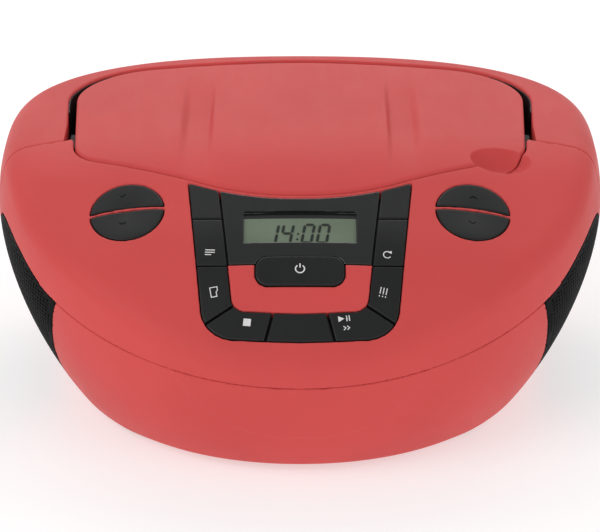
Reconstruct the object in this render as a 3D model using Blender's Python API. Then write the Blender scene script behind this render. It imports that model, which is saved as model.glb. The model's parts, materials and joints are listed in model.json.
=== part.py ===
"""Portable oval CD radio, modelled piece by piece and in place.

Named dimensions are millimetres; the objects are metres, +Z up, with the front facing -Y.
The origin lies under the middle of the footprint, at the height of the feet.
"""
import math

import bpy
import bmesh
from mathutils import Matrix, Vector

MM = 0.001
GAP = 0.35            # running gap between neighbouring pieces
WALL = 2.5            # wall of the moulded shells

# ---------------------------------------------------------------- driving dimensions
HALF_WIDTH = 125.0
HEIGHT = 112.0
FRONT_Y = -109.0
REAR_Y = 105.0
MIDDLE_Y = 19.0       # widest section, also the disc centre
BELLY_Z = 48.0        # height of the deepest section, front to back
SIDE_Z = 76.0         # height of the widest section, side to side
BASE_Z = 2.0          # underside of the bottom shell, above the feet

DISC_RADIUS = 60.0
WELL_FLOOR_Z = 92.0
DECK_TOP_Z = 95.0
SHELF_Z = 81.5        # floor of the recess that the handle and the deck sit in
PIVOT_Y = 15.5
PIVOT_Z = 94.0
HANDLE_END_RADIUS = 20.0
HANDLE_LID_GAP = 3.4
CHANNEL_HALF_WIDTH = 95.9  # open channel beside the lid, which starts at CHANNEL_FRONT_Y
CHANNEL_FRONT_Y = -1.0
CHEEK_CLEAR_X = 96.2   # flat inner face of the handle's round ends
LID_AXIS_Y = 77.0
LID_AXIS_Z = 106.0
LID_RIM_Z = 95.5
POCKET_DEPTH = 4.2
ROUND_KEY_RADIUS = 15.0
ROUND_KEY_CENTRE = (68.4, -48.6, 92.6)
ANTENNA_X = 75.0
ANTENNA_Y = 106.0
ANTENNA_Z = 72.5
SPEAKER_Y = -4.0
SPEAKER_Z = 42.0
BAY_LOW = (-76.0, 16.0)
BAY_HIGH = (76.0, 70.0)
BAY_ROOF_Z = 30.0
SLED_TRAVEL = 32.0
LENS_Y = MIDDLE_Y - 24.0   # lens at the sled's inner stop
WELL_RADIUS = DISC_RADIUS + 0.6
GEAR_X = 33.0
GEAR_TEETH = 20
GEAR_PITCH_RADIUS = 7.2
FEET = [(-62.0, -50.0), (62.0, -50.0), (-68.0, 79.5), (68.0, 79.5)]
SCREWS = [(-74.0, -30.0), (74.0, -30.0), (-50.0, 80.0), (50.0, 80.0)]
INLET_X = -52.0
JACK_X = -20.0
INLET_Z = 38.0

MATERIALS = {
    "red_shell": ((0.68, 0.10, 0.10), 0.42, 0.0),
    "black_key": ((0.030, 0.032, 0.031), 0.45, 0.0),
    "black_chassis": ((0.020, 0.020, 0.020), 0.55, 0.0),
    "display_black": ((0.012, 0.013, 0.014), 0.12, 0.0),
    "lcd_glass": ((0.16, 0.19, 0.14), 0.25, 0.0),
    "grille_black": ((0.012, 0.013, 0.014), 0.50, 0.0),
    "steel": ((0.60, 0.60, 0.60), 0.30, 1.0),
    "rubber": ((0.03, 0.03, 0.03), 0.80, 0.0),
    "circuit_green": ((0.02, 0.16, 0.06), 0.50, 0.0),
    "copper": ((0.70, 0.33, 0.16), 0.35, 1.0),
    "paper_cone": ((0.05, 0.05, 0.05), 0.90, 0.0),
    "lens_glass": ((0.35, 0.45, 0.80), 0.05, 0.0),
}


# ---------------------------------------------------------------- body surface
def clamp(value, low, high):
    return max(low, min(high, value))


def smooth_max(a, b, radius):
    h = clamp(0.5 + 0.5 * (a - b) / radius, 0.0, 1.0)
    return b + (a - b) * h + radius * h * (1.0 - h)


def facet(x, y, z, slope, edge_y, edge_z):
    """Signed height over a facet of the front, which tilts back by slope degrees."""
    angle = math.radians(slope)
    crown = 10.0 * x * x / 1e4
    return -(y - edge_y) * math.cos(angle) + (z - edge_z + crown) * math.sin(angle)


def body_field(point):
    """Below zero inside the closed body, about the distance to its surface near it."""
    x, y, z = point
    low = clamp((SIDE_Z - z) / SIDE_Z, 0.0, 1.2)
    high = clamp((z - SIDE_Z) / (HEIGHT - SIDE_Z), 0.0, 1.3)
    width = HALF_WIDTH * (1.0 - 0.245 * low ** 1.8) * (1.0 - 0.07 * high ** 2)
    low = clamp((BELLY_Z - z) / BELLY_Z, 0.0, 1.2)
    high = clamp((z - BELLY_Z) / (HEIGHT - BELLY_Z), 0.0, 1.3)
    taper = (1.0 - 0.15 * low ** 2.6) * (1.0 - 0.10 * high ** 2)
    front = y < MIDDLE_Y
    depth = taper * (MIDDLE_Y - FRONT_Y if front else REAR_Y - MIDDLE_Y)
    power = 2.08 if front else 3.3
    a = abs(x) / width + 1e-9
    b = abs(y - MIDDLE_Y) / depth + 1e-9
    ratio = (a ** power + b ** power) ** (1.0 / power)
    side = max(math.hypot(x, y - MIDDLE_Y), 1e-6) * (1.0 - 1.0 / ratio)
    crown = 6.0 * x * x / 1e4 + 6.0 * (y - MIDDLE_Y - 22.0) ** 2 / 1e4
    field = smooth_max(side, z - (HEIGHT - crown), 8.0)
    field = smooth_max(field, facet(x, y, z, 64.0, -41.0, 101.0), 6.4)
    field = smooth_max(field, facet(x, y, z, 47.0, -105.0, 56.0), 5.0)
    return smooth_max(field, BASE_Z - z, 3.0)


def surface_point(start, direction, offset=0.0, reach=180.0):
    """Point where a ray from inside crosses the body surface moved outwards by offset."""
    near, far = 0.0, reach
    for _ in range(22):
        middle = 0.5 * (near + far)
        if body_field(start + direction * middle) > offset:
            far = middle
        else:
            near = middle
    return start + direction * near


# ---------------------------------------------------------------- mesh helpers
def material(name):
    found = bpy.data.materials.get(name)
    if found:
        return found
    colour, roughness, metallic = MATERIALS[name]
    made = bpy.data.materials.new(name)
    made.use_nodes = True
    shader = made.node_tree.nodes["Principled BSDF"]
    shader.inputs["Base Color"].default_value = (*colour, 1.0)
    shader.inputs["Roughness"].default_value = roughness
    shader.inputs["Metallic"].default_value = metallic
    made.diffuse_color = (*colour, 1.0)
    return made


def solid(name, points, faces):
    """Object made of points in millimetres and faces that are turned outwards."""
    mesh = bpy.data.meshes.new(name)
    mesh.from_pydata([Vector(p) * MM for p in points], [], faces)
    work = bmesh.new()
    work.from_mesh(mesh)
    bmesh.ops.remove_doubles(work, verts=work.verts, dist=1e-7)
    bmesh.ops.recalc_face_normals(work, faces=work.faces)
    work.to_mesh(mesh)
    work.free()
    made = bpy.data.objects.new(name, mesh)
    bpy.context.scene.collection.objects.link(made)
    return made


def discard(thing):
    bpy.data.objects.remove(thing, do_unlink=True)


def combine(target, tool, operation, keep=False):
    """Applies one exact boolean of target with tool, then drops the tool."""
    modifier = target.modifiers.new("boolean", "BOOLEAN")
    modifier.object = tool
    modifier.operation = operation
    bpy.context.view_layer.update()
    graph = bpy.context.evaluated_depsgraph_get()
    result = bpy.data.meshes.new_from_object(target.evaluated_get(graph))
    target.modifiers.clear()
    target.data = result
    if not keep:
        discard(tool)
    return target


def cut(target, *tools):
    for tool in tools:
        combine(target, tool, "DIFFERENCE")
    return target


def join(target, *tools):
    for tool in tools:
        combine(target, tool, "UNION")
    return target


def keep_inside(target, tool):
    return combine(target, tool, "INTERSECT")


def box(name, low, high):
    points = [(x, y, z) for x in (low[0], high[0]) for y in (low[1], high[1]) for z in (low[2], high[2])]
    faces = [(0, 1, 3, 2), (4, 6, 7, 5), (0, 4, 5, 1), (2, 3, 7, 6), (0, 2, 6, 4), (1, 5, 7, 3)]
    return solid(name, points, faces)


def loft(name, loops):
    """Closed solid through loops of equal length, capped at both ends."""
    count = len(loops[0])
    points = [p for loop in loops for p in loop]
    faces = [tuple(range(count))[::-1], tuple(range(len(points) - count, len(points)))]
    for row in range(len(loops) - 1):
        for i in range(count):
            j = (i + 1) % count
            faces.append((row * count + i, row * count + j, (row + 1) * count + j, (row + 1) * count + i))
    return solid(name, points, faces)


AXES = {"X": Matrix(((0, 0, 1), (1, 0, 0), (0, 1, 0))), "Y": Matrix(((0, 1, 0), (0, 0, 1), (1, 0, 0))),
        "Z": Matrix.Identity(3)}


def turned(name, centre, axis, profile, segments=16):
    """Round solid about an axis: profile is a closed run of (radius, height) corners."""
    turn = AXES[axis]
    points = []
    for k in range(segments):
        angle = math.tau * k / segments
        for radius, height in profile:
            local = Vector((radius * math.cos(angle), radius * math.sin(angle), height))
            points.append(Vector(centre) + turn @ local)
    count = len(profile)
    faces = []
    for k in range(segments):
        for i in range(count):
            j = (i + 1) % count
            if profile[i][0] < 1e-9 and profile[j][0] < 1e-9:
                continue
            a, b = k * count, ((k + 1) % segments) * count
            corners = [a + i, b + i, b + j, a + j]
            if profile[i][0] < 1e-9:
                corners.remove(b + i)
            if profile[j][0] < 1e-9:
                corners.remove(b + j)
            faces.append(tuple(corners))
    return solid(name, points, faces)


def rod(name, centre, axis, radius, low, high, segments=16):
    """Plain cylinder between two heights along its axis, measured from centre."""
    return turned(name, centre, axis, [(0, low), (radius, low), (radius, high), (0, high)], segments)


def extrude_plan(name, outline, low, high):
    return loft(name, [[(x, y, low) for x, y in outline], [(x, y, high) for x, y in outline]])


def extrude_side(name, outline, low, high):
    """Prism along X of an outline in (Y, Z)."""
    return loft(name, [[(low, y, z) for y, z in outline], [(high, y, z) for y, z in outline]])


def rounded(corners, step=14.0):
    """Closed outline from (x, y, radius) corners, each rounded by an arc."""
    outline = []
    count = len(corners)
    for i, (x, y, radius) in enumerate(corners):
        here = Vector((x, y))
        back = (Vector(corners[i - 1][:2]) - here).normalized()
        ahead = (Vector(corners[(i + 1) % count][:2]) - here).normalized()
        half = 0.5 * back.angle(ahead)
        if radius <= 0.0 or half > math.radians(89.5):
            outline.append((x, y))
            continue
        run = radius / math.tan(half)
        centre = here + (back + ahead).normalized() * (radius / math.sin(half))
        start = here + back * run - centre
        stop = here + ahead * run - centre
        sweep = start.angle_signed(stop)
        pieces = max(2, round(abs(math.degrees(sweep)) / step))
        for k in range(pieces + 1):
            turn = Matrix.Rotation(-sweep * k / pieces, 2)
            outline.append(tuple(centre + turn @ start))
    return outline


def grown(outline, distance):
    """Outline moved outwards by distance, for a run that goes anticlockwise."""
    moved = []
    count = len(outline)
    for i in range(count):
        before = Vector(outline[i]) - Vector(outline[i - 1])
        after = Vector(outline[(i + 1) % count]) - Vector(outline[i])
        normal = before.normalized() + after.normalized()
        normal = Vector((normal.y, -normal.x)).normalized()
        spread = max(0.5, normal.dot(Vector((after.y, -after.x)).normalized()))
        moved.append(tuple(Vector(outline[i]) + normal * (distance / spread)))
    return moved


def dense(outline, step):
    """Outline with its long edges split into equal pieces no longer than step."""
    points = []
    for a, b in zip(outline, outline[1:] + outline[:1]):
        a, b = Vector(a), Vector(b)
        pieces = max(1, math.ceil((b - a).length / step))
        points += [tuple(a.lerp(b, k / pieces)) for k in range(pieces)]
    return points


def mirrored(half, skip_last=False):
    """Anticlockwise corners of a figure that is symmetric about x = 0."""
    left = half[:-1] if skip_last else half
    return half + [(-x, y, r) for x, y, r in reversed(left)]


# ---------------------------------------------------------------- surface frames
class Frame:
    """A plane over the body: u to the right, v up the slope, w out of the surface."""

    def __init__(self, origin, normal):
        self.origin = Vector(origin)
        self.w = Vector(normal).normalized()
        self.u = Vector((self.w.z, 0.0, -self.w.x)).normalized()
        self.v = self.w.cross(self.u)

    def at(self, u, v, w=0.0):
        return self.origin + self.u * u + self.v * v + self.w * w

    def on_surface(self, u, v):
        return surface_point(self.at(u, v, -30.0), self.w, 0.0, 60.0)

    def local(self, point):
        offset = Vector(point) - self.origin
        return offset.dot(self.u), offset.dot(self.v)


def plug(name, frame, outline, top, bottom, scales=(1.0, 0.7, 0.35), centre=None):
    """Solid whose outline is pushed along the frame's w, with both ends following the surface."""
    middle = centre or tuple(sum(c) / len(outline) for c in zip(*outline))
    count = len(outline)
    points = []
    for shift in (top, bottom):
        for scale in scales:
            for u, v in outline:
                u = middle[0] + (u - middle[0]) * scale
                v = middle[1] + (v - middle[1]) * scale
                points.append(frame.on_surface(u, v) + frame.w * shift)
        points.append(frame.on_surface(*middle) + frame.w * shift)
    ring = len(scales) * count + 1
    faces = []
    for side in (0, ring):
        for row in range(len(scales) - 1):
            for i in range(count):
                j = (i + 1) % count
                a, b = side + row * count, side + (row + 1) * count
                faces.append((a + i, a + j, b + j, b + i))
        inner = side + (len(scales) - 1) * count
        faces += [(inner + i, inner + (i + 1) % count, side + ring - 1) for i in range(count)]
    faces += [(i, ring + i, ring + (i + 1) % count, (i + 1) % count) for i in range(count)]
    return solid(name, points, faces)


def gradient(point):
    step = 0.2
    return Vector([body_field(Vector(point) + step * e) - body_field(Vector(point) - step * e)
                   for e in (Vector((1, 0, 0)), Vector((0, 1, 0)), Vector((0, 0, 1)))]).normalized()


PRESS_ANGLE = math.radians(57.0)
PANEL = Frame((0.0, -70.0, 84.0), (0.0, -math.cos(PRESS_ANGLE), math.sin(PRESS_ANGLE)))
ROUND_FRAMES = {}
for side_name, sign in (("left", -1), ("right", 1)):
    spot = Vector((sign * ROUND_KEY_CENTRE[0], ROUND_KEY_CENTRE[1], ROUND_KEY_CENTRE[2]))
    ROUND_FRAMES[side_name] = Frame(spot, gradient(spot))

# ---------------------------------------------------------------- outlines
LID_CORNERS = [(20.7, -44.9, 95.0), (91.0, -15.6, 14.0), (95.8, 76.6, 32.0)]
LID_OUTLINE = rounded(mirrored(LID_CORNERS + [(0.0, 81.2, 300.0)], skip_last=True))

# Lower edge of the top shell as seen from the side, (Y, Z), front to rear.
SEAM = [(-130.0, 36.2), (-62.4, 59.8), (-51.3, 65.2), (-39.2, 72.2), (-26.0, 77.6), (-15.0, 78.6),
        (-7.0, 75.4), (2.0, 70.4), (15.5, 67.4), (40.0, 64.6), (80.0, 57.0), (130.0, 56.0)]
GRILLE_TOP = [p for p in SEAM if -63.0 < p[0] < 81.0]
GRILLE_BOTTOM = [(74.5, 44.0), (65.5, 31.0), (51.0, 16.5), (34.0, 10.0), (-14.0, 10.0), (-33.0, 16.5),
                 (-45.6, 31.5), (-54.0, 44.1)]
GRILLE = GRILLE_TOP + GRILLE_BOTTOM

# Panel outlines are in the panel frame, (u, v).
POCKET_RIM = 1.9
LCD_HALF_WIDTH = 22.2
LCD_LOW_V = 4.0
LCD_HIGH_V = 15.6
POWER_HALF_WIDTH = 17.3
POWER_LOW_V = -15.8
POWER_HIGH_V = -2.8
DISPLAY_LOW_V = -6.4


def lid_edge_in_panel(clearance):
    """Run of (u, v) that follows the lid's front edge, left to right, at a clearance."""
    edge = dense(grown(LID_OUTLINE, clearance), 6.0)
    front = sorted(p for p in edge if p[1] < -12.0 and abs(p[0]) < 80.0)
    return [PANEL.local(surface_point(Vector((x, y, 60.0)), Vector((0, 0, 1)))) for x, y in front]


def height_on(run, u):
    """Interpolates a left-to-right run of points at u."""
    for (u0, v0), (u1, v1) in zip(run, run[1:]):
        if u0 <= u <= u1:
            return v0 + (v1 - v0) * (u - u0) / (u1 - u0)
    return run[-1][1]


def inner_edge(v, clearance):
    """Half width at v of the field inside the U strip, less a clearance."""
    (top_u, top_v), (corner_u, corner_v, _) = U_INNER[:2]
    return corner_u + (top_u - corner_u) * (v - corner_v) / (top_v - corner_v) - clearance


U_OUTER = [(45.0, 40.0), (37.4, -37.4, 14.0), (0.0, -39.8, 160.0)]
U_INNER = [(32.9, 40.0), (26.0, -25.9, 6.0), (0.0, -27.4, 120.0)]


def u_path(line, shift):
    """Right half of a U-shaped line, from its open top to the middle, moved outwards by shift."""
    (top_u, top_v), (corner_u, corner_v, radius), (_, low_v, low_radius) = line
    corners = [(-top_u, top_v, 0.0), (-corner_u, corner_v, radius), (0.0, low_v, low_radius),
               (corner_u, corner_v, radius), (top_u, top_v, 0.0)]
    outline = grown(rounded(corners, 9.0), shift)
    right = [p for p in outline if p[0] > 1e-6]
    return [p for p in reversed(right)] + [(0.0, min(p[1] for p in outline))]


def trimmed(run, start, stop):
    """Part of a run between two lengths, with its ends interpolated."""
    kept = []
    travelled = 0.0
    for a, b in zip(run, run[1:]):
        a, b = Vector(a), Vector(b)
        piece = (b - a).length
        for limit in (start, stop):
            if travelled <= limit < travelled + piece:
                kept.append(tuple(a.lerp(b, (limit - travelled) / piece)))
        travelled += piece
        if start < travelled < stop:
            kept.append(tuple(b))
    return kept


def crossing(run, point, heading):
    """Length along a run at which it meets the line through point with a heading."""
    travelled = 0.0
    nearest = (1e9, 0.0)
    point = Vector(point)
    normal = Vector((-heading[1], heading[0]))
    for a, b in zip(run, run[1:]):
        a, b = Vector(a), Vector(b)
        da, db = (a - point).dot(normal), (b - point).dot(normal)
        if da * db <= 0.0 and abs(da - db) > 1e-9:
            share = da / (da - db)
            nearest = min(nearest, ((a.lerp(b, share) - point).length, travelled + (b - a).length * share))
        travelled += (b - a).length
    return nearest[1]


# Split lines across the U strip: a point on the outer edge, and the direction of the line.
SPLITS = [((42.7, 17.0), (1.0, 0.05)), ((40.0, -6.4), (1.0, 0.03)), ((34.3, -29.6), (8.9, -6.0)),
          ((13.4, -38.9), (3.0, -12.0))]
SPLIT_GAPS = [0.25, 0.25, 0.5, 0.6]
STRIP_KEYS = ["strip_trim", "mode_key", "album_key", "stop_key", "strip_middle"]


def strip_segment(first, last, top_run, clearance=GAP):
    """Outline of one piece of the U strip on the right half, between two split indices."""
    outer = u_path(U_OUTER, -clearance)
    inner = u_path(U_INNER, clearance)
    ends = []
    for run in (outer, inner):
        if first < 0:
            start = next(i for i, (a, b) in enumerate(zip(run, run[1:])) if b[1] < height_on(top_run, b[0]))
            a, b = Vector(run[start]), Vector(run[start + 1])
            for k in range(101):
                p = a.lerp(b, k / 100)
                if p.y < height_on(top_run, p.x):
                    break
            begin = sum((Vector(q) - Vector(r)).length for q, r in zip(run[:start], run[1:start + 1]))
            begin += (p - a).length
        else:
            begin = crossing(run, *SPLITS[first]) + SPLIT_GAPS[first]
        if last < len(SPLITS):
            end = crossing(run, *SPLITS[last]) - SPLIT_GAPS[last]
        else:
            end = sum((Vector(q) - Vector(r)).length for q, r in zip(run, run[1:])) - 1e-6
        ends.append((run, begin, end))
    outer_part = trimmed(*ends[0])
    inner_part = trimmed(*ends[1])
    return outer_part, inner_part


def anticlockwise(outline):
    area = sum(a[0] * b[1] - b[0] * a[1] for a, b in zip(outline, outline[1:] + outline[:1]))
    return outline if area > 0 else outline[::-1]


def strip_outlines():
    """Outlines of the nine pieces of the U strip by name, in the panel frame."""
    top_run = lid_edge_in_panel(POCKET_RIM + GAP)
    outlines = {}
    right_names = {"strip_trim": "trim_right", "mode_key": "repeat_key", "album_key": "program_key",
                   "stop_key": "play_key"}
    left_names = {"strip_trim": "trim_left", "mode_key": "mode_key", "album_key": "album_key",
                  "stop_key": "stop_key"}
    for index, key in enumerate(STRIP_KEYS):
        outer, inner = strip_segment(index - 1, index, top_run)
        half = outer + inner[::-1]
        if key == "strip_middle":
            left = [(-u, v) for u, v in outer]
            left_inner = [(-u, v) for u, v in inner]
            whole = outer[:-1] + left[::-1] + left_inner + inner[:-1][::-1]
            outlines["trim_middle"] = anticlockwise(whole)
            continue
        outlines[right_names[key]] = anticlockwise(half)
        outlines[left_names[key]] = anticlockwise([(-u, v) for u, v in half])
    return outlines


def power_outline(clearance):
    w = POWER_HALF_WIDTH + clearance
    low, high = POWER_LOW_V - clearance, POWER_HIGH_V + clearance
    r = 5.0 + clearance
    return rounded([(w, low, r), (w, high, r), (-w, high, r), (-w, low, r)], 22.0)


def display_outline(clearance):
    """Display window, before the power key's outline is taken out of its lower edge."""
    top_run = lid_edge_in_panel(POCKET_RIM + GAP)
    low_v = DISPLAY_LOW_V + clearance
    side = [(inner_edge(v, clearance), v) for v in (low_v, 6.0, 18.0, 28.0)]
    corner_u = next(u for u in [34.0 - 0.02 * k for k in range(200)]
                    if inner_edge(height_on(top_run, u), clearance) >= u)
    side.append((corner_u, height_on(top_run, corner_u)))
    top = [(u, v) for u, v in top_run if abs(u) < corner_u - 1.5]
    left = [(-u, v) for u, v in side]
    bottom = [(u, low_v) for u in (-14.0, 0.0, 14.0)]
    return anticlockwise(bottom + side + top[::-1] + left[::-1])


def island_outline():
    """Red field of the panel, inside the U strip and under the display."""
    high_v = DISPLAY_LOW_V
    inner = [p for p in u_path(U_INNER, 0.0) if p[1] < high_v - 1.0]
    right = [(inner_edge(high_v, 0.0), high_v)] + inner
    left = [(-u, v) for u, v in right[:-1]]
    return anticlockwise(left + right[::-1])


def half_round(upper, clearance=0.0, rib=0.55):
    """Upper or lower half of a round key, parted by an arched rib."""
    radius = ROUND_KEY_RADIUS - clearance
    arch = 1.4
    half_rib = rib + clearance
    start = math.asin(half_rib / radius)
    outline = []
    for k in range(13):
        angle = start + (math.pi - 2 * start) * k / 12
        outline.append((radius * math.cos(angle), radius * math.sin(angle)))
    if not upper:
        outline = [(u, -v) for u, v in outline]
    shift = half_rib if upper else -half_rib
    chord = []
    for k in range(1, 6):
        u = -outline[0][0] + 2 * outline[0][0] * k / 6
        chord.append((u, shift + arch * (1.0 - (u / radius) ** 2)))
    return anticlockwise(outline + chord)


# ---------------------------------------------------------------- body blanks
def body_blank(name, offset=0.0, around=48, down=19):
    """Closed body: rays from its middle, spread so that flat parts get fewer rings."""
    centre = Vector((0.0, MIDDLE_Y, 50.0))
    points = [surface_point(centre, Vector((0, 0, 1)), offset)]
    for row in range(1, down):
        polar = math.pi * row / down
        for k in range(around):
            angle = math.tau * k / around
            ray = Vector((math.cos(angle) * math.sin(polar), math.sin(angle) * math.sin(polar),
                          math.cos(polar)))
            points.append(surface_point(centre, ray, offset))
    points.append(surface_point(centre, Vector((0, 0, -1)), offset))
    faces = [(0, 1 + k, 1 + (k + 1) % around) for k in range(around)]
    for row in range(down - 2):
        a, b = 1 + row * around, 1 + (row + 1) * around
        for k in range(around):
            j = (k + 1) % around
            faces.append((a + k, b + k, b + j))
            faces.append((a + k, b + j, a + j))
    last = 1 + (down - 2) * around
    faces += [(last + (k + 1) % around, last + k, len(points) - 1) for k in range(around)]
    return solid(name, points, faces)


def above_seam(name, shift):
    outline = [(y, z + shift) for y, z in SEAM] + [(130.0, 160.0), (-130.0, 160.0)]
    return extrude_side(name, outline, -160.0, 160.0)


def handle_seat(name, grow):
    """Space behind the seam that the handle and the deck sit in, enlarged by grow."""
    seat = box(name, (-160.0, PIVOT_Y - grow, SHELF_Z - grow), (160.0, 160.0, 160.0))
    half = CHANNEL_HALF_WIDTH + grow
    join(seat, box("channel", (-half, CHANNEL_FRONT_Y - grow, SHELF_Z - grow), (half, 50.0, 160.0)))
    radius = HANDLE_END_RADIUS + 0.4 + grow
    for sign in (-1, 1):
        low, high = sorted((sign * (94.6 - grow), sign * 160.0))
        join(seat, rod("seat_end", (0, PIVOT_Y, PIVOT_Z), "X", radius, low, high, 28))
    return seat


def scoop(name, grow):
    """Thumb scoop across the right front corner of the lid."""
    centre = Vector((82.0, -20.5, 108.0))
    radii = (14.0 + grow, 9.0 + grow, 10.5 + grow)
    loops = []
    for row in range(1, 12):
        polar = math.pi * row / 12
        loops.append([(centre.x + radii[0] * math.sin(polar) * math.cos(math.tau * k / 20),
                       centre.y + radii[1] * math.sin(polar) * math.sin(math.tau * k / 20),
                       centre.z + radii[2] * math.cos(polar)) for k in range(20)])
    return loft(name, loops)


# ---------------------------------------------------------------- shells
def make_top_shell():
    shell = keep_inside(body_blank("top_shell"), above_seam("seam_tool", 0.18))
    cavity = body_blank("cavity", -WALL, 40, 16)
    cut(cavity, handle_seat("seat_tool", WALL))
    rim = pocket_outline(2.2)
    cut(cavity, plug("panel_keep", PANEL, rim, 6.0, -POCKET_DEPTH - 1.8, (1.0, 0.5), centre=(0.0, -2.0)))
    for frame in ROUND_FRAMES.values():
        circle = [(17.5 * math.cos(math.tau * k / 16), 17.5 * math.sin(math.tau * k / 16)) for k in range(16)]
        cut(cavity, plug("round_keep", frame, circle, 6.0, -POCKET_DEPTH - 1.8, (1.0,)))
    cut(cavity, scoop("scoop_keep", 2.0))
    cut(cavity, rod("turret_keep", (ANTENNA_X, 0, ANTENNA_Z), "Y", 6.2, 92.4, 120.0, 20))
    turret = rod("turret", (ANTENNA_X, 0, ANTENNA_Z), "Y", 8.0, 94.5, 100.3)
    join(shell, turret)
    cut(shell, cavity, handle_seat("seat_cut", 0.0))
    cut(shell, extrude_plan("lid_hole", grown(LID_OUTLINE, 0.6), SHELF_Z, 160.0))
    cut(shell, extrude_plan("shelf_hole", grown(LID_OUTLINE, -14.0), 70.0, SHELF_Z + 1.0))
    cut(shell, scoop("scoop_cut", 0.0))
    cut_panel_pocket(shell)
    cut_round_pockets(shell)
    cut(shell, rod("turret_bore", (ANTENNA_X, 0, ANTENNA_Z), "Y", 3.4, 85.0, 120.0))
    cut(shell, rod("groove", (0, ANTENNA_Y, ANTENNA_Z), "X", 3.8, -80.0, 64.0, 16))
    cut(shell, box("rod_room", (-80.0, ANTENNA_Y - 3.8, ANTENNA_Z), (64.0, 130.0, HEIGHT)))
    return shell


def pocket_outline(grow):
    """Rim of the pocket that holds the keys and the display."""
    top_run = lid_edge_in_panel(POCKET_RIM - grow)
    (top_u, top_v), (corner_u, corner_v, _) = U_OUTER[:2]
    slope = (top_u - corner_u) / (top_v - corner_v)
    corner_u = next(u for u in [50.0 - 0.02 * k for k in range(400)]
                    if top_u + grow + (height_on(top_run, u) - top_v) * slope >= u)
    outer = [p for p in u_path(U_OUTER, grow) if p[1] < height_on(top_run, p[0]) - 1.0]
    right = [(corner_u, height_on(top_run, corner_u))] + outer
    left = [(-u, v) for u, v in right[:-1]]
    top = [(u, v) for u, v in top_run if abs(u) < corner_u - 1.0]
    return anticlockwise(left + right[::-1] + top[::-1])


def cut_panel_pocket(shell):
    pocket = plug("pocket", PANEL, pocket_outline(0.0), 6.0, -POCKET_DEPTH, (1.0, 0.5), centre=(0.0, -2.0))
    island = plug("island", PANEL, island_outline(), 8.0, -POCKET_DEPTH - 1.0, (1.0, 0.5),
                  centre=(0.0, -17.0))
    cut(island, plug("power_room", PANEL, power_outline(GAP), 9.0, -POCKET_DEPTH - 2.0, (1.0, 0.5)))
    cut(shell, cut(pocket, island))
    window = [(-24.0, 2.0), (24.0, 2.0), (24.0, 17.5), (-24.0, 17.5)]
    cut(shell, plug("lcd_window", PANEL, window, 3.0, -9.0))
    for name, (u, v) in stem_places().items():
        cut(shell, stem("stem_hole", PANEL, u, v, 2.0, -11.0, 2.0))


def cut_round_pockets(shell):
    for frame in ROUND_FRAMES.values():
        for upper in (True, False):
            cut(shell, plug("half_pocket", frame, half_round(upper), 6.0, -POCKET_DEPTH, (1.0, 0.45)))
            centre_v = 6.5 if upper else -6.5
            cut(shell, stem("stem_hole", frame, 0.0, centre_v, 2.0, -10.0, 2.0))


def stem(name, frame, u, v, top, bottom, radius, sides=8):
    """Round peg along the frame's w, from top to bottom measured from the surface."""
    foot = frame.on_surface(u, v)
    loops = []
    for shift in (bottom, top):
        loops.append([foot + frame.w * shift + frame.u * (radius * math.cos(math.tau * k / sides))
                      + frame.v * (radius * math.sin(math.tau * k / sides)) for k in range(sides)])
    return loft(name, loops)


def stem_places():
    """Panel places where a key's stem goes through the pocket floor."""
    return {"mode_key": (-35.8, 5.0), "album_key": (-33.0, -16.0), "stop_key": (-22.0, -31.0),
            "play_key": (22.0, -31.0), "program_key": (33.0, -16.0), "repeat_key": (35.8, 5.0),
            "power_key": (0.0, -9.3)}


def make_bottom_shell():
    shell = body_blank("bottom_shell")
    cut(shell, above_seam("seam_tool", -0.18))
    cut(shell, body_blank("cavity", -WALL, 40, 16))
    bay_wall = 2.0
    roof = box("bay_walls", (BAY_LOW[0] - bay_wall, BAY_LOW[1] - bay_wall, BASE_Z + 1.0),
               (BAY_HIGH[0] + bay_wall, BAY_HIGH[1] + bay_wall, BAY_ROOF_Z + bay_wall))
    join(shell, roof)
    cut(shell, box("bay", (BAY_LOW[0], BAY_LOW[1], -5.0), (BAY_HIGH[0], BAY_HIGH[1], BAY_ROOF_Z)))
    for sign in (-1, 1):
        low, high = sorted((sign * 60.0, sign * 160.0))
        cut(shell, extrude_side("grille_hole", GRILLE, low, high))
    for x, y in FEET:
        cut(shell, rod("foot_hole", (x, y, 0), "Z", 3.0, -2.0, 8.0, 12))
    for x, y in SCREWS:
        cut(shell, rod("screw_hole", (x, y, 0), "Z", 2.0, -2.0, 20.0, 12))
    cut(shell, box("inlet_hole", (INLET_X - 11.3, 90.0, INLET_Z - 6.3),
                   (INLET_X + 11.3, 120.0, INLET_Z + 6.3)))
    cut(shell, rod("jack_hole", (JACK_X, 0, INLET_Z), "Y", 4.3, 90.0, 120.0, 16))
    return shell


def make_grille(side, sign):
    plate = body_blank(f"speaker_grille_{side}")
    cut(plate, body_blank("inside", -2.0, 40, 16))
    low, high = sorted((sign * 60.0, sign * 160.0))
    return keep_inside(plate, extrude_side("grille_tool", grown(anticlockwise(GRILLE), -GAP), low, high))


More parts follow.
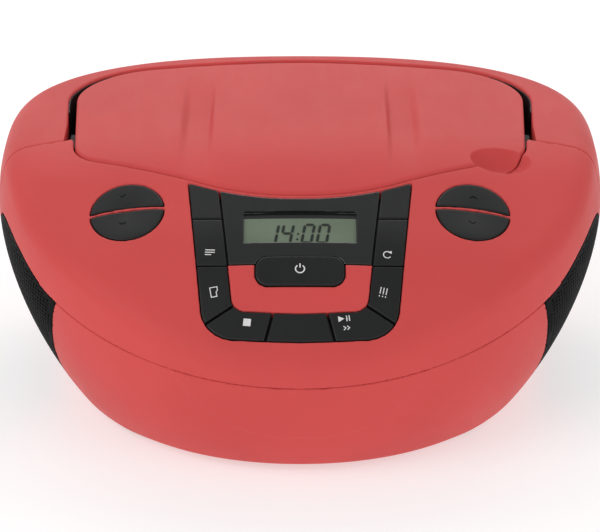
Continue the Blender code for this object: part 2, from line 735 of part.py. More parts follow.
def make_handle():
    handle = box("handle", (-160.0, PIVOT_Y, SHELF_Z + 0.3), (160.0, 160.0, 160.0))
    for sign in (-1, 1):
        low, high = sorted((sign * 90.0, sign * 160.0))
        join(handle, rod("end", (0, PIVOT_Y, PIVOT_Z), "X", HANDLE_END_RADIUS, low, high, 28))
    keep_inside(handle, body_blank("outside"))
    inner = grown(LID_OUTLINE, HANDLE_LID_GAP)
    cut(handle, extrude_plan("inside_u", inner, 40.0, 160.0))
    channel = body_blank("channel", -WALL, 40, 16)
    cut(channel, extrude_plan("core", grown(LID_OUTLINE, HANDLE_LID_GAP + WALL), 0.0, 160.0))
    keep_inside(channel, box("channel_limit", (-160.0, PIVOT_Y + HANDLE_END_RADIUS + 2.0, 60.0),
                             (160.0, 160.0, 160.0)))
    cut(handle, channel)
    for sign in (-1, 1):
        low, high = sorted((sign * 80.0, sign * 109.0))
        cut(handle, rod("bore", (0, PIVOT_Y, PIVOT_Z), "X", 3.0 + GAP, low, high, 20))
        low, high = sorted((sign * 85.0, sign * CHEEK_CLEAR_X))
        cut(handle, rod("cheek_clear", (0, PIVOT_Y, PIVOT_Z), "X", HANDLE_END_RADIUS + 0.6, low, high, 28))
    return handle


def make_lid():
    lid = keep_inside(body_blank("cd_lid"), extrude_plan("lid_tool", LID_OUTLINE, LID_RIM_Z, 160.0))
    hollow = keep_inside(body_blank("hollow", -2.2, 40, 16),
                         extrude_plan("hollow_tool", grown(LID_OUTLINE, -2.2), 80.0, 160.0))
    cut(hollow, scoop("scoop_keep", 2.0))
    clamp_profile = [(0.0, 97.0), (12.0, 97.0), (14.5, 98.0), (14.5, 120.0), (0.0, 120.0)]
    cut(hollow, turned("clamp", (0, MIDDLE_Y, 0), "Z", clamp_profile))
    for sign in (-1, 1):
        low, high = sorted((sign * 20.5, sign * 27.0))
        cut(hollow, box("lug", (low, LID_AXIS_Y - 3.0, LID_AXIS_Z - 3.2), (high, 90.0, 130.0)))
    cut(lid, hollow, scoop("scoop_cut", 0.0))
    for sign in (-1, 1):
        low, high = sorted((sign * 12.5, sign * 20.2))
        cut(lid, box("ear_room", (low, LID_AXIS_Y - 4.5, 90.0), (high, 90.0, LID_AXIS_Z + 3.0)))
        low, high = sorted((sign * 88.0, sign * 120.0))
        cut(lid, box("cheek_room", (low, PIVOT_Y - 9.5, 90.0), (high, PIVOT_Y + 9.5, PIVOT_Z + 5.6)))
        low, high = sorted((sign * 12.0, sign * 28.0))
        cut(lid, box("below_axis", (low, LID_AXIS_Y - 4.0, 90.0), (high, 90.0, LID_AXIS_Z - 3.2)))
    cut(lid, rod("bore", (0, LID_AXIS_Y, LID_AXIS_Z), "X", 1.25 + 0.3, -28.0, 28.0, 12))
    return lid


def make_deck():
    """Disc deck: a rim around the well, with tabs under it that carry the well's separate floor."""
    bottom_z = SHELF_Z + 0.3
    deck = extrude_plan("cd_deck", grown(LID_OUTLINE, -2.0), bottom_z, DECK_TOP_Z)
    for sign in (-1, 1):
        low, high = sorted((sign * 84.0, sign * 95.5))
        join(deck, box("cheek", (low, PIVOT_Y - 8.0, bottom_z), (high, PIVOT_Y + 8.0, PIVOT_Z + 4.6)))
        low, high = sorted((sign * 13.5, sign * 19.5))
        join(deck, box("ear", (low, LID_AXIS_Y - 2.6, DECK_TOP_Z - 2.0),
                       (high, LID_AXIS_Y + 1.0, LID_AXIS_Z)))
        join(deck, rod("ear_eye", (0, LID_AXIS_Y, LID_AXIS_Z), "X", 2.6, low, high, 16))
    cut(deck, extrude_plan("underside", grown(LID_OUTLINE, -11.0), 70.0, WELL_FLOOR_Z - 2.5))
    cut(deck, rod("well", (0, MIDDLE_Y, 0), "Z", WELL_RADIUS, 70.0, 130.0, 40))
    floor_z = WELL_FLOOR_Z - 2.5
    for sign in (-1, 1):
        for middle_y in (MIDDLE_Y - 20.0, MIDDLE_Y + 20.0):
            near, far = middle_y - 3.0, middle_y + 3.0
            low, high = sorted((sign * 54.5, sign * 63.0))
            join(deck, box("tab", (low, near, floor_z - 2.6), (high, far, floor_z - GAP)))
            low, high = sorted((sign * 58.6, sign * 63.0))
            join(deck, box("tab_root", (low, near, floor_z - 2.6), (high, far, floor_z + 1.0)))
    for sign in (-1, 1):
        low, high = sorted((sign * 88.5, sign * 120.0))
        cut(deck, rod("pin_hole", (0, PIVOT_Y, PIVOT_Z), "X", 3.3, low, high, 20))
    cut(deck, rod("hinge_bore", (0, LID_AXIS_Y, LID_AXIS_Z), "X", 1.55, -28.0, 28.0, 12))
    floor = rod("well_floor", (0, MIDDLE_Y, 0), "Z", WELL_RADIUS - GAP, floor_z, WELL_FLOOR_Z, 40)
    cut(floor, rod("hub_hole", (0, MIDDLE_Y, 0), "Z", 13.6, 80.0, 130.0))
    slot_low = LENS_Y - SLED_TRAVEL - 4.3
    cut(floor, box("lens_slot", (-8.0, slot_low, 80.0), (8.0, MIDDLE_Y - 12.0, 130.0)))


# ---------------------------------------------------------------- keys and display
def make_keys():
    stems = stem_places()
    for name, outline in strip_outlines().items():
        key = plug(name, PANEL, outline, 0.0, -2.6, (1.0, 0.5))
        if name in stems:
            join(key, stem("peg", PANEL, *stems[name], -1.5, -9.6, 1.5))
        else:
            centre = [sum(c) / len(outline) for c in zip(*outline)]
            join(key, stem("peg", PANEL, *centre, -1.5, -3.9, 1.5))
    power = plug("power_key", PANEL, power_outline(0.0), 0.4, -2.6, (1.0, 0.6))
    join(power, stem("peg", PANEL, *stems["power_key"], -1.5, -9.6, 1.5))
    names = {("left", True): "volume_up_key", ("left", False): "volume_down_key",
             ("right", True): "skip_forward_key", ("right", False): "skip_back_key"}
    for (side, upper), name in names.items():
        frame = ROUND_FRAMES[side]
        key = plug(name, frame, half_round(upper, GAP), 0.2, -2.6, (1.0, 0.6))
        join(key, stem("peg", frame, 0.0, 6.5 if upper else -6.5, -1.5, -8.6, 1.5))


def make_display():
    window = plug("display_window", PANEL, display_outline(GAP), -0.1, -2.4, (1.0, 0.6, 0.3),
                  centre=(0.0, 11.0))
    cut(window, plug("power_room", PANEL, power_outline(GAP), 3.0, -5.0, (1.0, 0.5)))
    recess = [(-LCD_HALF_WIDTH, LCD_LOW_V), (LCD_HALF_WIDTH, LCD_LOW_V),
              (LCD_HALF_WIDTH, LCD_HIGH_V + 4.5), (-LCD_HALF_WIDTH, LCD_HIGH_V + 4.5)]
    cut(window, plug("lcd_recess", PANEL, recess, 2.0, -1.4))
    cell = ((-23.5, 2.4), (23.5, 2.4), (23.5, 17.1), (-23.5, 17.1))
    lcd = loft("lcd_module", [[PANEL.at(u, v, w) for u, v in cell] for w in (-8.6, -4.6)])
    cut(lcd, plug("window_tool", PANEL, [(-26, 0), (26, 0), (26, 20), (-26, 20)], 3.0, -2.8))
    board = ((-41.0, -35.0), (41.0, -35.0), (41.0, 8.0), (-41.0, 8.0))
    loft("key_board", [[PANEL.at(u, v, w) for u, v in board] for w in (-16.6, -15.0)])


# ---------------------------------------------------------------- mechanism and electrics
def make_disc_drive():
    hub = [(0, 78.0), (1.0, 78.0), (1.0, 91.0), (13.0, 91.0), (13.0, 92.9), (7.4, 92.9), (7.4, 95.2),
           (6.2, 96.2), (0, 96.2)]
    turned("disc_spindle", (0, MIDDLE_Y, 0), "Z", hub, 20)
    motor = [(0, 73.0), (11.5, 73.0), (11.5, 88.8), (3.0, 88.8), (3.0, 89.8), (1.35, 89.8), (1.35, 77.0),
             (0, 77.0)]
    turned("spindle_motor", (0, MIDDLE_Y, 0), "Z", motor)
    sled = box("laser_sled", (-19.0, LENS_Y - 9.0, 74.0), (19.0, LENS_Y + 11.0, 81.2))
    join(sled, box("lens_turret", (-6.5, LENS_Y - 3.9, 80.0), (6.5, LENS_Y + 4.5, 88.5)))
    join(sled, box("rack_web", (18.0, LENS_Y - 9.0, 75.0), (23.0, LENS_Y + SLED_TRAVEL + 5.0, 77.0)))
    for sign, side in ((-1, "left"), (1, "right")):
        guide = (sign * 14.5, 0, 77.6)
        cut(sled, rod("guide", guide, "Y", 1.5 + GAP, -80.0, 60.0, 12))
        rod(f"guide_rod_{side}", guide, "Y", 1.5, -52.0, 6.6, 12)
    cut(sled, rod("lens_seat", (0, LENS_Y, 0), "Z", 3.0, 86.0, 95.0, 16))
    lens = [(0, 86.4), (2.7, 86.4), (2.7, 89.2), (1.6, 90.2), (0, 90.5)]
    turned("laser_lens", (0, LENS_Y, 0), "Z", lens, 20)
    make_sled_gear()
    case = [(0, 62.0), (8.0, 62.0), (8.0, 73.0), (1.5, 73.0), (1.5, 70.0), (0, 70.0)]
    turned("sled_motor", (GEAR_X, LENS_Y, 0), "Z", case, 20)


def make_sled_gear():
    """Toothed pinion beside the sled and the rack teeth on the sled's edge."""
    pitch = math.tau * GEAR_PITCH_RADIUS / GEAR_TEETH
    outline = []
    for tooth in range(GEAR_TEETH):
        for part, radius in ((-0.32, 6.6), (-0.14, 7.75), (0.14, 7.75), (0.32, 6.6)):
            angle = math.tau * (tooth + part) / GEAR_TEETH + math.pi + math.pi / GEAR_TEETH
            outline.append((GEAR_X + radius * math.cos(angle), LENS_Y + radius * math.sin(angle)))
    gear = extrude_plan("sled_gear", outline, 75.0, 77.5)
    join(gear, rod("gear_shaft", (GEAR_X, LENS_Y, 0), "Z", 1.1, 70.4, 79.0, 12))
    rack_x = GEAR_X - GEAR_PITCH_RADIUS
    run = [(rack_x - 3.0, -9.0)]
    last_tooth = math.floor((SLED_TRAVEL + 4.0) / pitch)
    for tooth in range(-3, last_tooth + 1):
        middle = tooth * pitch
        run += [(rack_x - 0.75, middle - 0.36 * pitch), (rack_x + 0.35, middle - 0.12 * pitch),
                (rack_x + 0.35, middle + 0.12 * pitch), (rack_x - 0.75, middle + 0.36 * pitch)]
    run += [(rack_x - 3.0, SLED_TRAVEL + 5.0)]
    teeth = extrude_plan("rack", anticlockwise([(x, LENS_Y + y) for x, y in run]), 75.2, 77.0)
    join(bpy.data.objects["laser_sled"], teeth)


def make_speaker(side, sign):
    """Round speaker behind a grille, its magnet and basket in one; profiles run outwards along X."""
    def profile(corners):
        run = [(radius, sign * height) for radius, height in corners]
        return run if sign > 0 else run[::-1]
    centre = (0, SPEAKER_Y, SPEAKER_Z)
    basket = [(0.0, 75.0), (15.0, 75.0), (15.0, 84.2), (26.0, 95.5), (29.0, 95.5), (29.0, 97.5),
              (24.5, 97.5), (13.0, 86.0), (9.2, 86.0), (9.2, 78.0), (6.8, 78.0), (6.8, 84.5), (0.0, 84.5)]
    turned(f"speaker_basket_{side}", centre, "X", profile(basket), 20)
    cone = [(24.0, 97.2), (22.4, 97.9), (8.4, 89.6), (0.0, 91.6), (0.0, 90.6), (7.6, 88.6), (7.6, 85.4),
            (8.3, 85.4), (8.3, 88.0)]
    turned(f"speaker_cone_{side}", centre, "X", profile(cone[::-1]), 20)


def make_electrics():
    box("main_board", (-50.0, -72.0, 12.0), (50.0, -32.0, 13.6))
    core = box("transformer", (-62.0, -27.0, 6.0), (-24.0, 9.0, 38.0))
    winding = rod("winding", (-43.0, -9.0, 0), "Z", 15.0, 5.2, 41.0, 20)
    join(core, winding)
    inlet = box("mains_inlet", (INLET_X - 11.0, 84.0, INLET_Z - 6.0), (INLET_X + 11.0, 99.0, INLET_Z + 6.0))
    cut(inlet, box("socket", (INLET_X - 8.0, 88.0, INLET_Z - 4.0), (INLET_X + 8.0, 110.0, INLET_Z + 4.0)))
    for sign in (-1, 1):
        join(inlet, rod("contact_pin", (INLET_X + sign * 4.3, 0, INLET_Z), "Y", 1.2, 87.0, 96.5, 10))
    jack = [(0, 88.0), (4.0, 88.0), (4.0, 102.6), (1.9, 102.6), (1.9, 92.0), (0, 92.0)]
    turned("aux_jack", (JACK_X, 0, INLET_Z), "Y", jack, 16)
    for index, (x, y) in enumerate(FEET):
        foot = [(0, 0.0), (7.5, 0.0), (8.0, 0.6), (8.0, 1.7), (2.6, 1.7), (2.6, 6.5), (0, 6.5)]
        turned(f"foot_{index + 1}", (x, y, 0), "Z", foot, 12)
    for index, (x, y) in enumerate(SCREWS):
        screw = [(0, 0.9), (3.2, 0.9), (3.2, 1.6), (1.6, 1.9), (1.6, 16.0), (0, 16.0)]
        turned(f"case_screw_{index + 1}", (x, y, 0), "Z", screw, 8)
    door = box("battery_door", (BAY_LOW[0] + 0.4, BAY_LOW[1] + 0.4, BASE_Z + 0.1),
               (BAY_HIGH[0] - 0.4, BAY_HIGH[1] - 0.4, BASE_Z + 2.2))
    grip = box("finger_grip", (-9.0, BAY_HIGH[1] - 6.0, 0.0), (9.0, BAY_HIGH[1] - 3.0, BASE_Z + 1.2))
    cut(door, grip)
    for sign, side in ((-1, "left"), (1, "right")):
        low, high = sorted((sign * (BAY_HIGH[0] - 0.4), sign * (BAY_HIGH[0] - 1.2)))
        box(f"battery_contact_{side}", (low, 22.0, 8.0), (high, 64.0, 26.0))


def make_antenna():
    base_profile = [(0, 88.0), (5.0, 88.0), (5.0, 90.6), (3.0, 90.6), (3.0, 100.6), (6.5, 100.6),
                    (6.5, 102.4), (0, 102.4)]
    base = turned("antenna_base", (ANTENNA_X, 0, ANTENNA_Z), "Y", base_profile, 20)
    for sign in (-1, 1):
        low, high = sorted((sign * 3.6, sign * 5.6))
        ear = box("ear", (ANTENNA_X - 2.8, 101.0, ANTENNA_Z + low),
                  (ANTENNA_X + 2.8, 108.9, ANTENNA_Z + high))
        join(base, ear)
        cut(base, rod("eye", (ANTENNA_X, ANTENNA_Y, ANTENNA_Z), "Z", 1.5, low - 1.0, high + 1.0, 12))
    tube = rod("antenna_tube", (ANTENNA_X, ANTENNA_Y, ANTENNA_Z), "Z", 2.6, -3.2, 3.2, 16)
    join(tube, rod("trunnion", (ANTENNA_X, ANTENNA_Y, ANTENNA_Z), "Z", 1.2, -5.4, 5.4, 12))
    join(tube, rod("barrel", (0, ANTENNA_Y, ANTENNA_Z), "X", 3.0, -64.0, ANTENNA_X - 4.0, 16))
    join(tube, rod("neck", (0, ANTENNA_Y, ANTENNA_Z), "X", 1.8, ANTENNA_X - 6.0, ANTENNA_X, 12))
    cut(tube, rod("bore", (0, ANTENNA_Y, ANTENNA_Z), "X", 2.3, -70.0, 68.0, 16))
    centre = (0, ANTENNA_Y, ANTENNA_Z)
    turned("antenna_middle", centre, "X", [(2.0, 66.0), (2.0, -66.5), (1.3, -66.5), (1.3, 66.0)][::-1], 16)
    tip = [(0, -72.5), (2.8, -72.5), (2.8, -68.5), (1.0, -68.5), (1.0, 62.0), (0, 62.0)]
    turned("antenna_tip", centre, "X", tip, 16)


def make_pins():
    for sign, side in ((-1, "left"), (1, "right")):
        low, high = sorted((sign * 88.9, sign * 108.5))
        rod(f"handle_pin_{side}", (0, PIVOT_Y, PIVOT_Z), "X", 3.0, low, high, 20)
    rod("lid_hinge_pin", (0, LID_AXIS_Y, LID_AXIS_Z), "X", 1.25, -26.8, 26.8, 12)


# ---------------------------------------------------------------- assembly
SLOTS = {
    "red_shell": ["top_shell", "bottom_shell", "handle", "cd_lid"],
    "black_chassis": ["cd_deck", "well_floor", "disc_spindle", "laser_sled", "sled_gear", "mains_inlet",
                      "aux_jack", "battery_door"],
    "display_black": ["display_window"],
    "lcd_glass": ["lcd_module"],
    "grille_black": ["speaker_grille_left", "speaker_grille_right"],
    "steel": ["handle_pin_left", "handle_pin_right", "lid_hinge_pin", "guide_rod_left", "guide_rod_right",
              "spindle_motor", "sled_motor", "speaker_basket_left", "speaker_basket_right", "antenna_tube",
              "antenna_middle", "antenna_tip", "battery_contact_left", "battery_contact_right",
              "case_screw_1", "case_screw_2", "case_screw_3", "case_screw_4"],
    "rubber": ["foot_1", "foot_2", "foot_3", "foot_4"],
    "circuit_green": ["key_board", "main_board"],
    "copper": ["transformer"],
    "paper_cone": ["speaker_cone_left", "speaker_cone_right"],
    "lens_glass": ["laser_lens"],
}


def set_origin(thing, place):
    """Moves an object's origin to a place in millimetres, leaving its shape where it is."""
    shift = Vector(place) * MM
    thing.data.transform(Matrix.Translation(-shift))
    thing.location = shift


def finish_objects():
    slots = {name: slot for slot, names in SLOTS.items() for name in names}
    for thing in bpy.data.objects:
        thing.data.materials.clear()
        thing.data.materials.append(material(slots.get(thing.name, "black_key")))
        thing.data.shade_smooth()
        thing.data.set_sharp_from_angle(angle=math.radians(30.0))
    origins = {"handle": (0, PIVOT_Y, PIVOT_Z), "cd_lid": (0, LID_AXIS_Y, LID_AXIS_Z),
               "disc_spindle": (0, MIDDLE_Y, WELL_FLOOR_Z), "sled_gear": (GEAR_X, LENS_Y, 76.0),
               "antenna_base": (ANTENNA_X, ANTENNA_Y, ANTENNA_Z),
               "antenna_tube": (ANTENNA_X, ANTENNA_Y, ANTENNA_Z)}
    for name, place in origins.items():
        set_origin(bpy.data.objects[name], place)


def build():
    for thing in list(bpy.data.objects):
        bpy.data.objects.remove(thing, do_unlink=True)
    make_top_shell()
    make_bottom_shell()
    make_handle()
    make_lid()
    make_deck()
    make_pins()
    make_keys()
    make_display()
    make_disc_drive()
    for side, sign in (("left", -1), ("right", 1)):
        make_grille(side, sign)
        make_speaker(side, sign)
    make_electrics()
    make_antenna()
    finish_objects()


if __name__ == "__main__":
    build()
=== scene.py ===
"""Looks of an oval portable disc radio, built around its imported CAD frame.

The moulded pieces are rounded implicit shapes: a field is a function of points in millimetres, in the
frame's axes, that is below zero inside the piece and close to a distance near its surface.  Each field is
meshed as a closed surface, its points are settled onto the field, and its normals follow its gradient.
"""
import json
import math

import bpy
import numpy as np
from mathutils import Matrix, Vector
from mathutils.geometry import delaunay_2d_cdt


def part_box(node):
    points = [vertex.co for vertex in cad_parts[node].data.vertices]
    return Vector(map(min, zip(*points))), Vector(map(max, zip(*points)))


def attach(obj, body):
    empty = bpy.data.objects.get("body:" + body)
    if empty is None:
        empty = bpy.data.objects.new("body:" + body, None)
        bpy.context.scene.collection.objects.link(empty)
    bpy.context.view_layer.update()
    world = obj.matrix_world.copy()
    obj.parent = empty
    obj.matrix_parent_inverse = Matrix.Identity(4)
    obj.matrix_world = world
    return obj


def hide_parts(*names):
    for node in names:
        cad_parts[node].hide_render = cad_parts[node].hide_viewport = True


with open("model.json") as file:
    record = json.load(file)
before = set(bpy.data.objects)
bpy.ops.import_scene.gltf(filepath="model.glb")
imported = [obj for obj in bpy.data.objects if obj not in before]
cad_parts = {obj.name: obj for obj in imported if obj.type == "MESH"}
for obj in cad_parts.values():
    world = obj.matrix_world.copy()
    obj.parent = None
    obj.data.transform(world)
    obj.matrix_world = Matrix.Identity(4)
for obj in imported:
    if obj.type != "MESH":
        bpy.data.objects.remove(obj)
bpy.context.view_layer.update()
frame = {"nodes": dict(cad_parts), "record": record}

# ---------------------------------------------------------------- dimensions shared with the CAD, in mm
GAP = 0.35
WALL = 2.5
HALF_WIDTH = 125.0
HEIGHT = 112.0
FRONT_Y = -109.0
REAR_Y = 105.0
MIDDLE_Y = 19.0
BELLY_Z = 48.0
SIDE_Z = 76.0
BASE_Z = 2.0
DISC_RADIUS = 60.0
WELL_FLOOR_Z = 92.0
DECK_TOP_Z = 95.0
SHELF_Z = 81.5
PIVOT_Y = 15.5
PIVOT_Z = 94.0
HANDLE_END_RADIUS = 20.0
HANDLE_LID_GAP = 3.4
CHANNEL_HALF_WIDTH = 95.9
CHANNEL_FRONT_Y = -1.0
CHEEK_CLEAR_X = 96.2
LID_AXIS_Y = 77.0
LID_AXIS_Z = 106.0
LID_RIM_Z = 95.5
POCKET_DEPTH = 4.2
POCKET_RIM = 1.9
KEY_THICKNESS = 2.6
ROUND_KEY_RADIUS = 15.0
ROUND_KEY_CENTRE = (68.4, -48.6, 92.6)
ANTENNA_X = 75.0
ANTENNA_Y = 106.0
ANTENNA_Z = 72.5
HANDLE_PIN_BORE = 3.35
LID_PIN_BORE = 1.55
SCOOP_CENTRE = (82.0, -20.5, 108.0)
SCOOP_RADII = (14.0, 9.0, 10.5)
BAY_LOW = (-76.0, 16.0)
BAY_HIGH = (76.0, 70.0)
BAY_ROOF_Z = 30.0
INLET_X = -52.0
JACK_X = -20.0
INLET_Z = 38.0
SLED_TRAVEL = 32.0
WELL_RADIUS = DISC_RADIUS + 0.6
LENS_Y = MIDDLE_Y - 24.0


# ---------------------------------------------------------------- fields: blends and the body
def smax(a, b, radius):
    """Larger of two fields, with the edge between them rounded."""
    h = np.clip(0.5 + 0.5 * (a - b) / radius, 0.0, 1.0)
    return b + (a - b) * h + radius * h * (1.0 - h)


def smin(a, b, radius):
    return -smax(-a, -b, radius)


def ease(t):
    t = np.clip(t, 0.0, 1.0)
    return t * t * (3.0 - 2.0 * t)


def facet(x, y, z, slope, edge_y, edge_z):
    """Height over a facet of the front that tilts back by slope degrees."""
    angle = math.radians(slope)
    crown = 10.0 * x * x / 1e4
    return -(y - edge_y) * math.cos(angle) + (z - edge_z + crown) * math.sin(angle)


def body(p):
    """The closed outer body, the same formula as in the CAD source."""
    x, y, z = p.T
    low = np.clip((SIDE_Z - z) / SIDE_Z, 0.0, 1.2)
    high = np.clip((z - SIDE_Z) / (HEIGHT - SIDE_Z), 0.0, 1.3)
    width = HALF_WIDTH * (1.0 - 0.245 * low ** 1.8) * (1.0 - 0.07 * high ** 2)
    low = np.clip((BELLY_Z - z) / BELLY_Z, 0.0, 1.2)
    high = np.clip((z - BELLY_Z) / (HEIGHT - BELLY_Z), 0.0, 1.3)
    taper = (1.0 - 0.15 * low ** 2.6) * (1.0 - 0.10 * high ** 2)
    front = y < MIDDLE_Y
    depth = taper * np.where(front, MIDDLE_Y - FRONT_Y, REAR_Y - MIDDLE_Y)
    power = np.where(front, 2.08, 3.3)
    a = np.abs(x) / width + 1e-9
    b = np.abs(y - MIDDLE_Y) / depth + 1e-9
    ratio = (a ** power + b ** power) ** (1.0 / power)
    side = np.maximum(np.hypot(x, y - MIDDLE_Y), 1e-6) * (1.0 - 1.0 / ratio)
    crown = 6.0 * x * x / 1e4 + 6.0 * (y - MIDDLE_Y - 22.0) ** 2 / 1e4
    field = smax(side, z - (HEIGHT - crown), 8.0)
    field = smax(field, facet(x, y, z, 64.0, -41.0, 101.0), 6.4)
    field = smax(field, facet(x, y, z, 47.0, -105.0, 56.0), 5.0)
    return smax(field, BASE_Z - z, 3.0)


def crossing(start, run, near, far, level=0.0):
    """Distance from each start, along run, at which the body's field reaches a level."""
    near, far = np.full(len(start), near), np.full(len(start), far)
    for _ in range(26):
        middle = 0.5 * (near + far)
        out = body(start + middle[:, None] * run) > level
        far = np.where(out, middle, far)
        near = np.where(out, near, middle)
    return near


def gradient(field, p, reach=0.1):
    steps = np.eye(3) * reach
    slope = np.stack([field(p + s) - field(p - s) for s in steps], axis=1)
    return slope / (2.0 * reach)


# ---------------------------------------------------------------- outlines
def rounded(corners, step=3.0):
    """Closed outline from (x, y, radius) corners, each rounded by an arc of step degrees a piece."""
    outline = []
    count = len(corners)
    for i, (x, y, radius) in enumerate(corners):
        here = Vector((x, y))
        back = (Vector(corners[i - 1][:2]) - here).normalized()
        ahead = (Vector(corners[(i + 1) % count][:2]) - here).normalized()
        half = 0.5 * back.angle(ahead)
        if radius <= 0.0 or half > math.radians(89.8):
            outline.append((x, y))
            continue
        centre = here + (back + ahead).normalized() * (radius / math.sin(half))
        start = here + back * (radius / math.tan(half)) - centre
        stop = here + ahead * (radius / math.tan(half)) - centre
        sweep = start.angle_signed(stop)
        pieces = max(2, round(abs(math.degrees(sweep)) / step))
        for k in range(pieces + 1):
            angle = -sweep * k / pieces
            c, s = math.cos(angle), math.sin(angle)
            outline.append((centre.x + c * start.x - s * start.y, centre.y + s * start.x + c * start.y))
    return outline


def mirrored(right, middle=()):
    """Corners of a figure that is symmetric about x = 0, from its right half."""
    return list(right) + list(middle) + [(-x, y, r) for x, y, r in reversed(right)]


def smooth_run(points, pieces=8):
    """Points of a Catmull-Rom curve through a run of points."""
    run = [np.array(p, float) for p in points]
    run = [2 * run[0] - run[1]] + run + [2 * run[-1] - run[-2]]
    made = []
    for a, b, c, d in zip(run, run[1:], run[2:], run[3:]):
        for k in range(pieces):
            t = k / pieces
            made.append(tuple(0.5 * (2 * b + (c - a) * t + (2 * a - 5 * b + 4 * c - d) * t * t
                                     + (3 * b - a - 3 * c + d) * t ** 3)))
    return made + [tuple(run[-2])]


def polygon_distance(points, outline):
    """Signed distance from points to a closed outline, below zero inside."""
    nearest = np.full(len(points), 1e9)
    inside = np.zeros(len(points), bool)
    for a, b in zip(outline, outline[1:] + outline[:1]):
        a, b = np.array(a), np.array(b)
        run = b - a
        rel = points - a
        t = np.clip(rel @ run / max(run @ run, 1e-12), 0.0, 1.0)
        nearest = np.minimum(nearest, ((rel - t[:, None] * run) ** 2).sum(1))
        spans = (a[1] > points[:, 1]) != (b[1] > points[:, 1])
        if abs(run[1]) > 1e-12:
            inside ^= spans & (rel[:, 0] < rel[:, 1] * run[0] / run[1])
    return np.where(inside, -1.0, 1.0) * np.sqrt(nearest)


class Plan:
    """Distance to a flat outline, worked out once on a fine grid and read between its points."""

    def __init__(self, outline, cell=0.4, margin=14.0):
        corners = np.array(outline)
        self.cell = cell
        # The odd shift keeps every grid row off the outline's level edges, where inside is undecided.
        self.low = corners.min(0) - margin - 0.31 * cell
        size = np.ceil((corners.max(0) + margin - self.low) / cell).astype(int) + 2
        grid = np.stack(np.meshgrid(*[np.arange(n) for n in size], indexing="ij"), -1).reshape(-1, 2)
        self.values = polygon_distance(grid * cell + self.low, list(outline)).reshape(size)

    def __call__(self, a, b):
        i = np.clip((a - self.low[0]) / self.cell, 0.0, self.values.shape[0] - 1.001)
        j = np.clip((b - self.low[1]) / self.cell, 0.0, self.values.shape[1] - 1.001)
        i0, j0 = i.astype(int), j.astype(int)
        s, t = i - i0, j - j0
        v = self.values
        near = v[i0, j0] * (1 - s) + v[i0 + 1, j0] * s
        far = v[i0, j0 + 1] * (1 - s) + v[i0 + 1, j0 + 1] * s
        return near * (1 - t) + far * t


LID = Plan(rounded(mirrored([(20.7, -44.9, 95.0), (91.0, -15.6, 14.0), (95.8, 76.6, 32.0)],
                            [(0.0, 81.2, 300.0)])))
SEAM = smooth_run([(-130.0, 36.2), (-62.4, 59.8), (-51.3, 65.2), (-39.2, 72.2), (-26.0, 77.6),
                   (-15.0, 78.6), (-7.0, 75.4), (2.0, 70.4), (15.5, 67.4), (40.0, 64.6), (80.0, 57.0),
                   (130.0, 56.0)])
ABOVE_SEAM = Plan(SEAM + [(130.0, 160.0), (-130.0, 160.0)])
GRILLE_LOW = smooth_run([(74.5, 44.0), (65.5, 31.0), (51.0, 16.5), (34.0, 10.0), (-14.0, 10.0),
                         (-33.0, 16.5), (-45.6, 31.5), (-54.0, 44.1)])
GRILLE_OUTLINE = [p for p in SEAM if -63.0 < p[0] < 81.0] + GRILLE_LOW
GRILLE = Plan(GRILLE_OUTLINE)
U_OUTER = Plan(rounded([(45.0, 40.0, 0.0), (-45.0, 40.0, 0.0), (-37.4, -37.4, 14.0), (0.0, -39.8, 160.0),
                        (37.4, -37.4, 14.0)]), 0.2, 6.0)
U_INNER = Plan(rounded([(32.9, 40.0, 0.0), (-32.9, 40.0, 0.0), (-26.0, -25.9, 6.0), (0.0, -27.4, 120.0),
                        (26.0, -25.9, 6.0)]), 0.2, 6.0)
POWER = Plan(rounded([(17.3, -15.8, 5.0), (17.3, -2.8, 5.0), (-17.3, -2.8, 5.0), (-17.3, -15.8, 5.0)],
                     6.0), 0.2, 6.0)
DISPLAY_LOW_V = -6.4
RECESS = (22.2, 4.0, 20.1)     # half width, low v and high v of the recess over the clock
RECESS_DEPTH = 1.5
CLOCK_HIGH_V = 16.9

# Split lines across the U strip on its right half: a point, a direction and half the gap.
SPLITS = [((42.7, 17.0), (1.0, 0.05), 0.25), ((40.0, -6.4), (1.0, 0.03), 0.25),
          ((34.3, -29.6), (8.9, -6.0), 0.45), ((13.4, -38.9), (3.0, -12.0), 0.5)]


# ---------------------------------------------------------------- frames on the surface
class Surface:
    """Axes on the body: u to the right, v up the slope, w out of the surface."""

    def __init__(self, origin, normal):
        self.origin = np.array(origin, float)
        self.w = np.array(normal, float) / np.linalg.norm(normal)
        u = np.array((self.w[2], 0.0, -self.w[0]))
        self.u = u / np.linalg.norm(u)
        self.v = np.cross(self.w, self.u)

    def uv(self, p):
        rel = p - self.origin
        return rel @ self.u, rel @ self.v

    def on_body(self, uv, lift=0.0):
        """Points where lines along w meet the body, raised by lift."""
        uv = np.atleast_2d(np.array(uv, float))
        base = self.origin + uv[:, :1] * self.u + uv[:, 1:] * self.v
        return base + (crossing(base, self.w, -30.0, 30.0) + lift)[:, None] * self.w


PRESS_ANGLE = math.radians(57.0)
PANEL = Surface((0.0, -70.0, 84.0), (0.0, -math.cos(PRESS_ANGLE), math.sin(PRESS_ANGLE)))
ROUND = {}
for side_name, sign in (("left", -1), ("right", 1)):
    spot = np.array([(sign * ROUND_KEY_CENTRE[0], ROUND_KEY_CENTRE[1], ROUND_KEY_CENTRE[2])])
    ROUND[side_name] = Surface(spot[0], gradient(body, spot, 0.2)[0])


# ---------------------------------------------------------------- fields of the pieces
def block(x, y, z, low, high):
    """A box between two corners, where None leaves that side open."""
    sides = [lo - c for c, lo in zip((x, y, z), low) if lo is not None]
    sides += [c - hi for c, hi in zip((x, y, z), high) if hi is not None]
    return np.maximum.reduce(sides)


